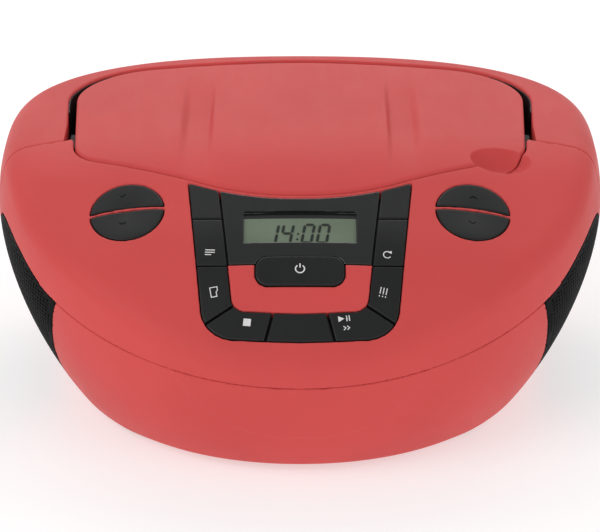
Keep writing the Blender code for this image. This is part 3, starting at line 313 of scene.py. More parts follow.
def seat(p):
    """Space that the handle and the disc deck sit in."""
    x, y, z = p.T
    rear = np.maximum(PIVOT_Y - y, SHELF_Z - z)
    channel = block(np.abs(x), y, z, (None, CHANNEL_FRONT_Y, SHELF_Z), (CHANNEL_HALF_WIDTH, 50.0, None))
    around = np.hypot(y - PIVOT_Y, z - PIVOT_Z) - HANDLE_END_RADIUS - 0.3
    ends = np.maximum(around, 94.6 - np.abs(x))
    return np.minimum(np.minimum(rear, channel), ends)


def thumb_scoop(p):
    """Ellipsoid scooped out across the right front corner of the lid."""
    rel = p - np.array(SCOOP_CENTRE)
    radii = np.array(SCOOP_RADII)
    near = np.linalg.norm(rel / radii, axis=1)
    return near * (near - 1.0) / (np.linalg.norm(rel / radii ** 2, axis=1) + 1e-9)


def pocket(p, skin):
    """Pocket for the keys and the display, around the red field in its middle."""
    x, y, _ = p.T
    u, v = PANEL.uv(p)
    rim = smax(U_OUTER(u, v), POCKET_RIM - LID(x, y), 1.2)
    island = np.maximum(U_INNER(u, v), v - DISPLAY_LOW_V)
    island = smax(island, GAP - POWER(u, v), 0.4)
    return np.maximum(np.maximum(rim, -island), -(skin + POCKET_DEPTH))


def half_round(side, upper, p, clearance):
    """Flat outline of one half of a round key, parted by an arched rib."""
    u, v = ROUND[side].uv(p)
    disc = np.hypot(u, v) - ROUND_KEY_RADIUS + clearance
    rib = 0.5 + clearance
    over = v - 1.4 * (1.0 - (u / ROUND_KEY_RADIUS) ** 2)
    return smax(disc, rib - over if upper else rib + over, 0.5)


def top_shell(p):
    x, y, z = p.T
    skin = body(p)
    seam = ABOVE_SEAM(y, z) + 0.02
    shell = smax(skin, seam, 0.5)
    shell = smin(shell, block(np.hypot(x - ANTENNA_X, z - ANTENNA_Z), y, z, (None, 94.5, None),
                              (8.0, 100.3, None)), 0.8)
    u, v = PANEL.uv(p)
    cavity = np.maximum(skin + WALL, WALL - seat(p))
    keep = np.maximum(U_OUTER(u, v) - 2.2, -(skin + POCKET_DEPTH + 1.8))
    cavity = np.maximum(cavity, -keep)
    cavity = np.maximum(cavity, 2.0 - thumb_scoop(p))
    rounds = [smax(half_round(s, up, p, 0.0), -(skin + POCKET_DEPTH), 0.4)
              for s in ROUND for up in (True, False)]
    for hole in rounds:
        cavity = np.maximum(cavity, 2.0 - hole)
    cavity = np.maximum(cavity, 6.4 - np.hypot(x - ANTENNA_X, z - ANTENNA_Z) - 20.0 * (y < 90.0))
    shell = np.maximum(shell, -cavity)
    shell = smax(shell, -seat(p), 0.5)
    shell = smax(shell, -np.maximum(LID(x, y) - 0.6, SHELF_Z - z), 1.3)
    shell = np.maximum(shell, -np.maximum(LID(x, y) + 14.0, z - SHELF_Z - 1.0))
    shell = smax(shell, -thumb_scoop(p), 0.5)
    shell = smax(shell, -pocket(p, skin), 0.6)
    for hole in rounds:
        shell = smax(shell, -hole, 0.55)
    groove = np.maximum(np.hypot(y - ANTENNA_Y, z - ANTENNA_Z) - 3.8, np.maximum(-80.0 - x, x - 64.0))
    shell = smax(shell, -groove, 0.5)
    room = block(x, y, z, (-80.0, ANTENNA_Y - 3.8, ANTENNA_Z), (64.0, None, None))
    shell = smax(shell, -room, 0.5)
    bore = np.maximum(np.hypot(x - ANTENNA_X, z - ANTENNA_Z) - 3.4, 85.0 - y)
    return np.maximum(shell, -bore)


SMILE_STEP = 0.35


def smile(x, z):
    """From 0 to 1 over the raised field on the lower front, inside a curved line."""
    low_z, rise, half, power = 20.7, 27.3, 50.9, 2.75
    share = np.abs(x) / half
    over = z - (low_z + rise * share ** power)
    slope = rise * power / half * np.clip(share, 0.0, 1.5) ** (power - 1.0)
    return ease(over / np.sqrt(1.0 + slope ** 2) / 0.9 + 0.5)


def bottom_shell(p):
    x, y, z = p.T
    skin = body(p)
    faded = (1.0 - ease((np.abs(x) - 58.0) / 12.0)) * ease((-30.0 - y) / 20.0)
    outside = skin + SMILE_STEP * faded * (1.0 - smile(x, z))
    shell = smax(outside, -ABOVE_SEAM(y, z) + 0.16, 0.5)
    shell = np.maximum(shell, -(skin + WALL))
    bay = block(x, y, z, (BAY_LOW[0] - 2.0, BAY_LOW[1] - 2.0, BASE_Z + 1.0),
                (BAY_HIGH[0] + 2.0, BAY_HIGH[1] + 2.0, BAY_ROOF_Z + 2.0))
    shell = np.minimum(shell, bay)
    hole = block(x, y, z, (BAY_LOW[0], BAY_LOW[1], None), (BAY_HIGH[0], BAY_HIGH[1], BAY_ROOF_Z))
    shell = smax(shell, -hole, 0.4)
    shell = smax(shell, -np.maximum(GRILLE(y, z), 60.0 - np.abs(x)), 0.6)
    inlet = block(x, y, z, (INLET_X - 11.3, 90.0, INLET_Z - 6.3), (INLET_X + 11.3, None, INLET_Z + 6.3))
    shell = smax(shell, -inlet, 0.8)
    jack = np.maximum(np.hypot(x - JACK_X, z - INLET_Z) - 4.3, 90.0 - y)
    return smax(shell, -jack, 0.8)


def handle(p):
    x, y, z = p.T
    around = np.hypot(y - PIVOT_Y, z - PIVOT_Z)
    ends = np.maximum(around - HANDLE_END_RADIUS, 90.0 - np.abs(x))
    bar = np.maximum(PIVOT_Y - y, SHELF_Z + 0.3 - z)
    skin = body(p)
    solid = smax(skin, np.minimum(ends, bar), 0.5)
    inner = LID(x, y)
    solid = smax(solid, HANDLE_LID_GAP - inner, 1.6)
    channel = np.maximum(np.maximum(skin + WALL, HANDLE_LID_GAP + WALL - inner),
                         PIVOT_Y + HANDLE_END_RADIUS + 2.0 - y)
    solid = smax(solid, -channel, 0.5)
    bore = np.maximum(around - HANDLE_PIN_BORE, np.abs(x) - 109.0)
    clear = np.maximum(around - HANDLE_END_RADIUS - 0.6, np.abs(x) - CHEEK_CLEAR_X)
    return np.maximum(np.maximum(solid, -bore), -clear)


def lid_bands(x, y):
    """Depth of the two soft scallops that run down the lid beside its middle."""
    across = ease((np.abs(x) - 35.0) / 2.5) * (1.0 - ease((np.abs(x) - 45.5) / 4.0))
    along = np.clip((y + 42.0) / 112.0, 0.0, 1.0)
    return 2.8 * across * np.sin(math.pi * along) ** 2


def cd_lid(p):
    x, y, z = p.T
    skin = body(p)
    outline = LID(x, y)
    bands = lid_bands(x, y)
    solid = smax(skin + bands, outline, 1.5)
    solid = smax(solid, LID_RIM_Z - z, 0.4)
    hollow = np.maximum(skin + bands + 2.3, outline + 2.2)
    hollow = np.maximum(hollow, 2.0 - thumb_scoop(p))
    around = np.hypot(x, y - MIDDLE_Y)
    hollow = np.maximum(hollow, -np.maximum(around - 14.5, 97.0 + np.maximum(around - 12.0, 0.0) * 0.4 - z))
    lug = block(np.abs(x), y, z, (20.5, LID_AXIS_Y - 3.0, LID_AXIS_Z - 3.2), (27.0, None, None))
    hollow = np.maximum(hollow, -lug)
    solid = smax(solid, -hollow, 0.4)
    solid = smax(solid, -thumb_scoop(p), 0.5)
    ear = block(np.abs(x), y, z, (12.5, LID_AXIS_Y - 4.5, None), (20.2, None, LID_AXIS_Z + 3.0))
    cheek = block(np.abs(x), np.abs(y - PIVOT_Y), z, (88.0, None, None), (None, 9.5, PIVOT_Z + 5.6))
    under = block(np.abs(x), y, z, (12.0, LID_AXIS_Y - 4.0, None), (28.0, None, LID_AXIS_Z - 3.2))
    bore = np.maximum(np.hypot(y - LID_AXIS_Y, z - LID_AXIS_Z) - LID_PIN_BORE, np.abs(x) - 28.0)
    for room in (ear, cheek, under, bore):
        solid = np.maximum(solid, -room)
    return solid


def cd_deck(p):
    """Rim of the disc deck, with the handle's cheeks, the lid's ears and the well's tabs."""
    x, y, z = p.T
    around = np.hypot(x, y - MIDDLE_Y)
    solid = smax(LID(x, y) + 2.0, z - DECK_TOP_Z, 0.6)
    cheek = block(np.abs(x), np.abs(y - PIVOT_Y), z, (84.0, None, None), (95.5, 8.0, PIVOT_Z + 4.6))
    ear = block(np.abs(x), y, z, (13.5, LID_AXIS_Y - 2.6, DECK_TOP_Z - 2.0),
                (19.5, LID_AXIS_Y + 1.0, LID_AXIS_Z))
    eye = np.maximum(np.hypot(y - LID_AXIS_Y, z - LID_AXIS_Z) - 2.6, np.abs(np.abs(x) - 16.5) - 3.0)
    solid = np.minimum(np.minimum(solid, smin(cheek, ear, 0.4)), eye)
    solid = np.maximum(solid, SHELF_Z + 0.3 - z)
    solid = np.maximum(solid, -np.maximum(LID(x, y) + 11.0, z - WELL_FLOOR_Z + 2.5))
    solid = smax(solid, WELL_RADIUS - around, 0.6)
    along = np.abs(np.abs(y - MIDDLE_Y) - 20.0)
    tab_low, tab_high = WELL_FLOOR_Z - 5.1, WELL_FLOOR_Z - WALL - GAP
    tab = block(np.abs(x), along, z, (54.5, None, tab_low), (63.0, 3.0, tab_high))
    root = block(np.abs(x), along, z, (58.6, None, tab_low), (63.0, 3.0, WELL_FLOOR_Z - 1.5))
    solid = np.minimum(solid, np.minimum(tab, root))
    pin = np.maximum(np.hypot(y - PIVOT_Y, z - PIVOT_Z) - 3.3, 88.5 - np.abs(x))
    bore = np.hypot(y - LID_AXIS_Y, z - LID_AXIS_Z) - LID_PIN_BORE
    return np.maximum(np.maximum(solid, -pin), -np.maximum(bore, np.abs(x) - 28.0))


def well_floor(p):
    """Floor of the disc well, with two fine rings, the hub's hole and the lens slot."""
    x, y, z = p.T
    around = np.hypot(x, y - MIDDLE_Y)
    rings = 0.3 * np.exp(-((around - 50.0) / 0.8) ** 2) + 0.3 * np.exp(-((around - 54.0) / 0.8) ** 2)
    dish = 0.5 * ease((around - 22.0) / 1.5) * ease((47.0 - around) / 1.5)
    solid = smax(around - WELL_RADIUS + GAP, z - WELL_FLOOR_Z + dish + rings, 0.5)
    solid = np.maximum(solid, WELL_FLOOR_Z - 2.5 - z)
    slot = block(np.abs(x), y, z, (None, LENS_Y - SLED_TRAVEL - 4.3, None), (8.0, MIDDLE_Y - 12.0, None))
    solid = smax(solid, -slot, 0.4)
    return smax(solid, 13.6 - around, 0.4)


def key_mat(p):
    """Dark mat on the floors of the key pockets, seen through the gaps between the keys."""
    x, y, _ = p.T
    skin = body(p)
    u, v = PANEL.uv(p)
    flat = np.maximum(U_OUTER(u, v) + 0.2, POCKET_RIM + 0.2 - LID(x, y))
    island = np.maximum(np.maximum(U_INNER(u, v) - 0.2, v - DISPLAY_LOW_V - 0.2), 0.6 - POWER(u, v))
    flat = np.maximum(flat, -island)
    for side in ROUND:
        for upper in (True, False):
            flat = np.minimum(flat, half_round(side, upper, p, 0.2))
    return np.maximum(np.maximum(flat, skin + 3.5), -(skin + POCKET_DEPTH - 0.05))


def handle_shade_sheet(p):
    """Thin dark sheet on the inner walls of the handle's arms: painted shade that makes the gaps beside the
    lid black.
    """
    x, y, z = p.T
    outline = LID(x, y)
    wall = np.maximum(HANDLE_LID_GAP - 0.5 - outline, outline - HANDLE_LID_GAP - 0.15)
    around = np.hypot(y - PIVOT_Y, z - PIVOT_Z) - HANDLE_END_RADIUS + 0.6
    reach = np.minimum(around, PIVOT_Y + 0.6 - y)
    wall = np.maximum(np.maximum(wall, body(p) + 1.3), reach)
    wall = np.maximum(wall, np.maximum(SHELF_Z + 0.9 - z, y - 76.0))
    cheek = np.maximum(np.hypot(y - PIVOT_Y, z - PIVOT_Z) - HANDLE_END_RADIUS - 0.9, 80.0 - np.abs(x))
    return np.maximum(wall, -cheek)


def key_field(outline, top, edge=0.6):
    """A key cap: a flat outline between the body's surface raised by top and a depth below it."""
    def field(p):
        skin = body(p)
        return np.maximum(smax(outline(p), skin - top, edge), -(skin + KEY_THICKNESS))
    return field


def strip_key(index, side):
    """Outline of a piece of the U strip, counted from its top; side is -1 or 1, and 0 in the middle."""
    def outline(p):
        x, y, _ = p.T
        u, v = PANEL.uv(p)
        u = np.abs(u) if side == 0 else u * side
        shape = smax(U_OUTER(u, v) + GAP, GAP - U_INNER(u, v), 0.4)
        shape = smax(shape, POCKET_RIM + GAP - LID(x, y), 1.2)
        for k, (point, run, gap) in enumerate(SPLITS):
            across = np.array((-run[1], run[0])) / math.hypot(*run)
            over = (u - point[0]) * across[0] + (v - point[1]) * across[1]
            if k == index - 1:
                shape = smax(shape, over + gap, 0.4)
            if k == index:
                shape = smax(shape, gap - over, 0.4)
        return shape
    return outline


def display_window(p):
    x, y, _ = p.T
    u, v = PANEL.uv(p)
    shape = smax(U_INNER(u, v) + GAP, DISPLAY_LOW_V + GAP - v, 0.4)
    shape = smax(shape, POCKET_RIM + GAP - LID(x, y), 0.6)
    shape = smax(shape, GAP - POWER(u, v), 0.4)
    skin = body(p)
    solid = np.maximum(smax(shape, skin + 0.1, 0.45), -(skin + 2.4))
    half, low_v, high_v = RECESS
    recess = smax(np.abs(u) - half, np.abs(v - 0.5 * (low_v + high_v)) - 0.5 * (high_v - low_v), 0.5)
    return smax(solid, -np.maximum(recess, -(skin + RECESS_DEPTH)), 0.3)


def chevron(u, v, centre, down):
    """Narrow V mark sunk into a round key."""
    a = np.abs(u - centre[0])
    b = (v - centre[1]) * (1.0 if down else -1.0)
    return np.maximum(np.abs(b - 0.8 * a) / 1.28 - 0.22, np.hypot(a, b) - 1.9)


def round_key(side, upper):
    def field(p):
        skin = body(p)
        u, v = ROUND[side].uv(p)
        bowl = 0.012 * np.maximum(ROUND_KEY_RADIUS - 3.0 - np.hypot(u, v), 0.0) ** 1.5
        cap = smax(half_round(side, upper, p, GAP), skin - 0.2 + bowl, 0.7)
        centre = (-1.8 if side == "left" else 0.0, 8.2 if upper else -6.4)
        mark = chevron(u, v, centre, side == "left" or not upper)
        cap = smax(cap, -np.maximum(mark, -(skin + 0.35)), 0.15)
        return np.maximum(cap, -(skin + KEY_THICKNESS))
    return field


# ---------------------------------------------------------------- meshing a field
CORNERS = np.array([(i, j, k) for i in (0, 1) for j in (0, 1) for k in (0, 1)])
EDGES = [(a, b) for a in range(8) for b in range(a + 1, 8) if abs(CORNERS[a] - CORNERS[b]).sum() == 1]
BLOCK = 6


def grid_points(counts):
    return np.stack(np.meshgrid(*[np.arange(n) for n in counts], indexing="ij"), -1).reshape(-1, 3)


def evaluate(field, points, chunk=300000):
    return np.concatenate([field(points[i:i + chunk]) for i in range(0, len(points), chunk)])


def sample(field, low, counts, cell):
    """Field on a grid.  Blocks that the surface doesn't pass hold only their sign."""
    blocks = -(-counts // BLOCK)
    origins = grid_points(blocks) * BLOCK
    centres = evaluate(field, low + (origins + BLOCK / 2) * cell)
    filled = np.where(centres > 0.0, 9.0, -9.0).astype(np.float32).reshape(blocks)
    for axis in range(3):
        filled = np.repeat(filled, BLOCK, axis)
    values = np.pad(filled, ((0, 1),) * 3, mode="edge")
    active = origins[np.abs(centres) < 1.25 * BLOCK * cell + 0.8]
    inner = grid_points((BLOCK + 1,) * 3)
    found = evaluate(field, low + (active[:, None] + inner).reshape(-1, 3) * cell)
    found = found.reshape(-1, BLOCK + 1, BLOCK + 1, BLOCK + 1)
    for (i, j, k), part in zip(active, found):
        values[i:i + BLOCK + 1, j:j + BLOCK + 1, k:k + BLOCK + 1] = part
    return values


def surface_net(field, low, high, cell):
    """Points and quads of the closed surface where the field is zero."""
    low = np.array(low) - 2.37 * cell
    counts = np.ceil((np.array(high) - low) / cell).astype(int) + 3
    values = sample(field, low, counts, cell)
    inside = values < 0.0
    size = np.array(values.shape) - 1
    total = sum(inside[i:i + size[0], j:j + size[1], k:k + size[2]].astype(np.int8) for i, j, k in CORNERS)
    mixed = (total > 0) & (total < 8)
    index = np.full(mixed.shape, -1, np.int64)
    index[mixed] = np.arange(mixed.sum())
    cells = np.argwhere(mixed)
    corner = np.stack([values[tuple((cells + c).T)] for c in CORNERS], axis=1).astype(float)
    place = np.zeros((len(cells), 3))
    crossings = np.zeros(len(cells))
    for a, b in EDGES:
        crosses = (corner[:, a] < 0.0) != (corner[:, b] < 0.0)
        share = corner[crosses, a] / (corner[crosses, a] - corner[crosses, b])
        place[crosses] += CORNERS[a] + share[:, None] * (CORNERS[b] - CORNERS[a])
        crossings[crosses] += 1
    points = low + (cells + place / crossings[:, None]) * cell
    quads = []
    for axis in range(3):
        one, two = np.eye(3, dtype=int)[(axis + 1) % 3], np.eye(3, dtype=int)[(axis + 2) % 3]
        here = np.take(inside, range(size[axis]), axis)
        there = np.take(inside, range(1, size[axis] + 1), axis)
        found = np.argwhere(here != there)
        keep = ((found - one - two) >= 0).all(1) & (found < size).all(1)
        found = found[keep]
        ring = [index[tuple((found - shift).T)] for shift in (0 * one, one, one + two, two)]
        quad = np.stack(ring, axis=1)
        outward = here[tuple(found.T)]
        quads.append(np.where(outward[:, None], quad, quad[:, ::-1]))
    return points, np.concatenate(quads)


def settle(field, points, limit, rounds=3):
    """Moves points onto the field's zero surface by Newton steps no longer than limit."""
    for _ in range(rounds):
        value = evaluate(field, points)
        slope = evaluate(lambda part: gradient(field, part), points, 200000)
        move = slope * (value / ((slope ** 2).sum(1) + 1e-3))[:, None]
        length = np.linalg.norm(move, axis=1, keepdims=True)
        points = points - move * np.minimum(1.0, limit / np.maximum(length, 1e-9))
    return points


def new_object(name, mesh):
    made = bpy.data.objects.new(name, mesh)
    bpy.context.scene.collection.objects.link(made)
    return made


def raw_mesh(name, points, faces):
    mesh = bpy.data.meshes.new(name)
    mesh.from_pydata((np.asarray(points) * 0.001).tolist(), [], [tuple(f) for f in faces])
    return mesh


def shade(mesh, field):
    """Smooth shading: a corner takes the field's own gradient, or its face's normal if they disagree."""
    points = np.zeros(len(mesh.vertices) * 3)
    mesh.vertices.foreach_get("co", points)
    smooth = gradient(field, points.reshape(-1, 3) * 1000.0, 0.12)
    smooth /= np.linalg.norm(smooth, axis=1, keepdims=True) + 1e-9
    flat = np.zeros(len(mesh.polygons) * 3)
    mesh.polygons.foreach_get("normal", flat)
    sides = np.zeros(len(mesh.polygons), int)
    mesh.polygons.foreach_get("loop_total", sides)
    corner = np.zeros(len(mesh.loops), int)
    mesh.loops.foreach_get("vertex_index", corner)
    smooth = smooth[corner]
    flat = np.repeat(flat.reshape(-1, 3), sides, axis=0)
    agree = (smooth * flat).sum(1, keepdims=True) > 0.82
    mesh.shade_smooth()
    mesh.normals_split_custom_set(np.where(agree, smooth, flat).tolist())


def formed(name, place, field, cell, keep=0.4, margin=3.2):
    """Closed piece: its field is meshed in the box of the CAD node place and thinned to keep."""
    low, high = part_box(place)
    low = np.array(low) * 1000.0 - margin
    high = np.array(high) * 1000.0 + margin
    points, quads = surface_net(field, low, high, cell)
    points = settle(field, points, 0.45 * cell)
    piece = new_object(name, raw_mesh(name, points, quads))
    if keep < 1.0:
        thin = piece.modifiers.new("thin", "DECIMATE")
        thin.ratio = keep
        bpy.context.view_layer.update()
        graph = bpy.context.evaluated_depsgraph_get()
        mesh = bpy.data.meshes.new_from_object(piece.evaluated_get(graph))
        piece.modifiers.clear()
        piece.data = mesh
        points = np.zeros(len(mesh.vertices) * 3)
        mesh.vertices.foreach_get("co", points)
        points = settle(field, points.reshape(-1, 3) * 1000.0, 0.2 * cell, 2)
        mesh.vertices.foreach_set("co", (points * 0.001).ravel())
        mesh.update()
    shade(piece.data, field)
    return piece


def moulded(node, field, cell, keep=0.4):
    """Fine piece that stands in for a CAD node."""
    stand_for(formed(f"{node}_fine", node, field, cell, keep), node)


BODY_OF = {n: b for b, nodes in frame["record"]["behaviour"]["bodies"].items() for n in nodes}
SLOT_OF = {s["node"]: s["material_slot"] for s in frame["record"]["subparts"]}


def dress(piece, body_name, slot):
    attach(piece, body_name)
    piece.data.materials.clear()
    piece.data.materials.append(MATERIALS[slot])


def stand_for(piece, node):
    """The piece rides on its node's body, hides the node and takes its slot and material."""
    dress(piece, BODY_OF[node], SLOT_OF[node])
    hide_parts(node)


# ---------------------------------------------------------------- materials
class Nodes:
    """Short calls for building one material's node tree."""

    def __init__(self, name):
        self.material = bpy.data.materials.new(name)
        self.material.use_nodes = True
        self.tree = self.material.node_tree
        self.shader = self.tree.nodes["Principled BSDF"]
        self.coordinates = self.tree.nodes.new("ShaderNodeTexCoord").outputs["Object"]

    def add(self, kind, **values):
        node = self.tree.nodes.new(kind)
        for key, value in values.items():
            if key in node.inputs:
                node.inputs[key].default_value = value
            else:
                setattr(node, key, value)
        return node

    def fix(self, values):
        """Sets shader inputs that are the same all over."""
        for name, value in values.items():
            self.shader.inputs[name].default_value = value

    def link(self, source, target):
        self.tree.links.new(source, target)

    def paint(self, colour):
        self.link(colour, self.shader.inputs["Base Color"])

    def noise(self, scale, detail=2.0, roughness=0.5, stretch=None):
        node = self.add("ShaderNodeTexNoise", Scale=scale, Detail=detail, Roughness=roughness)
        source = self.coordinates
        if stretch:
            mapping = self.add("ShaderNodeMapping", Scale=stretch)
            self.link(source, mapping.inputs["Vector"])
            source = mapping.outputs["Vector"]
        self.link(source, node.inputs["Vector"])
        return node.outputs["Fac"]

    def span(self, value, low, high, start=0.35, stop=0.65):
        node = self.add("ShaderNodeMapRange", **{"From Min": start, "From Max": stop,
                                                 "To Min": low, "To Max": high})
        self.link(value, node.inputs["Value"])
        return node.outputs["Result"]

    def mix(self, factor, first, second):
        node = self.add("ShaderNodeMix", data_type="RGBA")
        self.link(factor, node.inputs["Factor"])
        for socket, value in ((node.inputs[6], first), (node.inputs[7], second)):
            if isinstance(value, tuple):
                socket.default_value = (*value, 1.0)
            else:
                self.link(value, socket)
        return node.outputs[2]

    def bump(self, height, distance, strength=1.0, before=None):
        node = self.add("ShaderNodeBump", Distance=distance, Strength=strength)
        self.link(height, node.inputs["Height"])
        if before is not None:
            self.link(before, node.inputs["Normal"])
        return node.outputs["Normal"]


def tinted(colour, factor):
    return tuple(min(1.0, c * factor) for c in colour)


def plastic(name, colour, rough, grain=0.00025, grain_depth=0.00001, coat=0.0, wear=0.12, specular=0.5):
    """Moulded plastic: fine spark-eroded grain, faint tone drift, rubbed edges and handling marks."""
    n = Nodes(name)
    drift = n.span(n.noise(18.0, 3.0), 0.0, 1.0)
    tone = n.mix(drift, tinted(colour, 0.965), tinted(colour, 1.03))
    edge = n.add("ShaderNodeNewGeometry").outputs["Pointiness"]
    rubbed = n.span(edge, 0.0, wear, 0.53, 0.62)
    n.paint(n.mix(rubbed, tone, tinted(colour, 1.7)))
    marks = n.noise(140.0, 6.0, 0.65, (1.0, 0.25, 0.6))
    n.link(n.span(marks, rough - 0.045, rough + 0.06, 0.3, 0.75), n.shader.inputs["Roughness"])
    n.link(n.bump(n.noise(0.35 / grain, 2.0), grain_depth, 0.6), n.shader.inputs["Normal"])
    n.fix({"Coat Weight": coat, "Coat Roughness": 0.06, "Specular IOR Level": specular})
    return n.material


def metal(name, colour, rough, stretch=(1.0, 1.0, 1.0), scale=900.0):
    """Metal with drawn or rolled lines along its longest stretch."""
    n = Nodes(name)
    lines = n.noise(scale, 4.0, 0.6, stretch)
    n.paint(n.mix(n.span(lines, 0.0, 1.0), tinted(colour, 0.8), tinted(colour, 1.1)))
    n.link(n.span(lines, rough - 0.08, rough + 0.12), n.shader.inputs["Roughness"])
    n.link(n.bump(lines, 0.00001, 0.5), n.shader.inputs["Normal"])
    n.fix({"Metallic": 1.0})
    return n.material


def rubber(name, colour):
    n = Nodes(name)
    grain = n.noise(2600.0, 3.0)
    n.paint(n.mix(n.span(n.noise(60.0), 0.0, 1.0), tinted(colour, 0.7), tinted(colour, 1.5)))
    n.link(n.bump(grain, 0.00006, 0.8), n.shader.inputs["Normal"])
    n.fix({"Roughness": 0.85})
    return n.material


def circuit_board(name):
    """Green lacquer over a raised grid, darker in its fields than along its lines."""
    n = Nodes(name)
    brick = n.add("ShaderNodeTexBrick", **{"Scale": 180.0, "Mortar Size": 0.04})
    n.link(n.coordinates, brick.inputs["Vector"])
    n.paint(n.mix(brick.outputs["Fac"], (0.01, 0.10, 0.04), (0.03, 0.22, 0.09)))
    n.link(n.bump(brick.outputs["Fac"], 0.00004), n.shader.inputs["Normal"])
    n.link(n.span(n.noise(300.0), 0.25, 0.45), n.shader.inputs["Roughness"])
    return n.material


def winding(name, colour):
    """Enamelled copper wire in close turns around a vertical axis."""
    n = Nodes(name)
    wave = n.add("ShaderNodeTexWave", bands_direction="Z", Scale=420.0, Distortion=0.6)
    n.link(n.coordinates, wave.inputs["Vector"])
    n.paint(n.mix(wave.outputs["Fac"], tinted(colour, 0.45), colour))
    n.link(n.bump(wave.outputs["Fac"], 0.0002), n.shader.inputs["Normal"])
    n.fix({"Metallic": 0.9, "Roughness": 0.35})
    return n.material


def liquid_crystal(name, colour):
    """Clock cell: glass over a pale ground that is a little uneven in tone, with a faint glow."""
    n = Nodes(name)
    drift = n.span(n.noise(40.0, 2.0), 0.0, 1.0)
    n.paint(n.mix(drift, tinted(colour, 0.90), tinted(colour, 1.10)))
    n.link(n.span(n.noise(500.0), 0.16, 0.26), n.shader.inputs["Roughness"])
    n.fix({"Emission Color": (*colour, 1.0), "Emission Strength": 0.12})
    return n.material


def ink(name, colour, rough=0.5):
    n = Nodes(name)
    n.paint(n.mix(n.span(n.noise(900.0, 4.0), 0.0, 1.0), tinted(colour, 0.86), colour))
    n.fix({"Roughness": rough})
    return n.material


def lens(name):
    n = Nodes(name)
    tint = n.add("ShaderNodeLayerWeight", Blend=0.4)
    n.paint(n.mix(tint.outputs["Facing"], (0.10, 0.16, 0.45), (0.35, 0.12, 0.40)))
    n.link(n.span(n.noise(800.0), 0.02, 0.06), n.shader.inputs["Roughness"])
    n.fix({"Coat Weight": 1.0})
    return n.material


RED = (0.640, 0.078, 0.075)
MATERIALS = {
    "red_shell": plastic("red_plastic", RED, 0.50, wear=0.05, specular=0.14),
    "black_key": plastic("key_plastic", (0.0105, 0.0115, 0.011), 0.42, wear=0.2, specular=0.3),
    "black_chassis": plastic("chassis_plastic", (0.012, 0.012, 0.013), 0.55, 0.0004, 0.00003, wear=0.2),
    "display_black": plastic("window_plastic", (0.007, 0.008, 0.0085), 0.16, 0.004, 0.000001,
                             coat=0.6, wear=0.1),
    "lcd_glass": liquid_crystal("clock_cell", (0.135, 0.170, 0.120)),
    "grille_black": plastic("grille_paint", (0.003, 0.0035, 0.0036), 0.62, wear=0.1, specular=0.05),
    "steel": metal("bright_steel", (0.62, 0.62, 0.61), 0.28, (0.05, 1.0, 1.0)),
    "rubber": rubber("foot_rubber", (0.018, 0.018, 0.018)),
    "circuit_green": circuit_board("lacquered_board"),
    "copper": winding("copper_winding", (0.62, 0.28, 0.13)),
    "paper_cone": rubber("cone_paper", (0.020, 0.020, 0.022)),
    "lens_glass": lens("coated_lens"),
}


# ---------------------------------------------------------------- marks and clock digits
def ribbon(points, width, closed=False):
    """Outline quads of a stroke of a given width along a run of flat points."""
    run = np.array(points, float)
    ahead = np.roll(run, -1, 0) - run
    behind = run - np.roll(run, 1, 0)
    if not closed:
        ahead[-1] = behind[-1]
        behind[0] = ahead[0]
    ahead /= np.linalg.norm(ahead, axis=1, keepdims=True)
    behind /= np.linalg.norm(behind, axis=1, keepdims=True)
    across = np.stack([-(ahead + behind)[:, 1], (ahead + behind)[:, 0]], 1)
    across /= np.linalg.norm(across, axis=1, keepdims=True)
    spread = np.clip((across * np.stack([-ahead[:, 1], ahead[:, 0]], 1)).sum(1), 0.5, 1.0)[:, None]
    left, right = run + across * width / 2 / spread, run - across * width / 2 / spread
    stop = len(run) if closed else len(run) - 1
    return [[left[i], right[i], right[(i + 1) % len(run)], left[(i + 1) % len(run)]] for i in range(stop)]


def arc(centre, radius, start, stop, pieces=24):
    angles = np.radians(np.linspace(start, stop, pieces + 1))
    return [(centre[0] + radius * math.cos(a), centre[1] + radius * math.sin(a)) for a in angles]


def printed(name, surface, shapes, body_name, material, lift=0.03, depth=0.12):
    """Thin closed plates for flat polygons laid on the body's surface."""
    points, faces = [], []
    for shape in shapes:
        ring = len(shape)
        start = len(points)
        for height in (lift, lift - depth):
            points += list(surface.on_body(shape, height))
        area = sum(a[0] * b[1] - b[0] * a[1] for a, b in zip(shape, list(shape[1:]) + list(shape[:1])))
        top = list(range(start, start + ring))
        low = list(range(start + ring, start + 2 * ring))
        faces += [tuple(top), tuple(low[::-1])] if area > 0 else [tuple(top[::-1]), tuple(low)]
        for i in range(ring):
            j = (i + 1) % ring
            side = (top[i], low[i], low[j], top[j])
            faces.append(side if area > 0 else side[::-1])
    piece = new_object(name, raw_mesh(name, points, faces))
    piece.data.materials.append(material)
    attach(piece, body_name)
    return piece


def turned_shapes(shapes, centre, angle=0.0):
    """Shapes turned by an angle in degrees and moved to a centre."""
    c, s = math.cos(math.radians(angle)), math.sin(math.radians(angle))
    return [[(centre[0] + c * x - s * y, centre[1] + s * x + c * y) for x, y in shape] for shape in shapes]


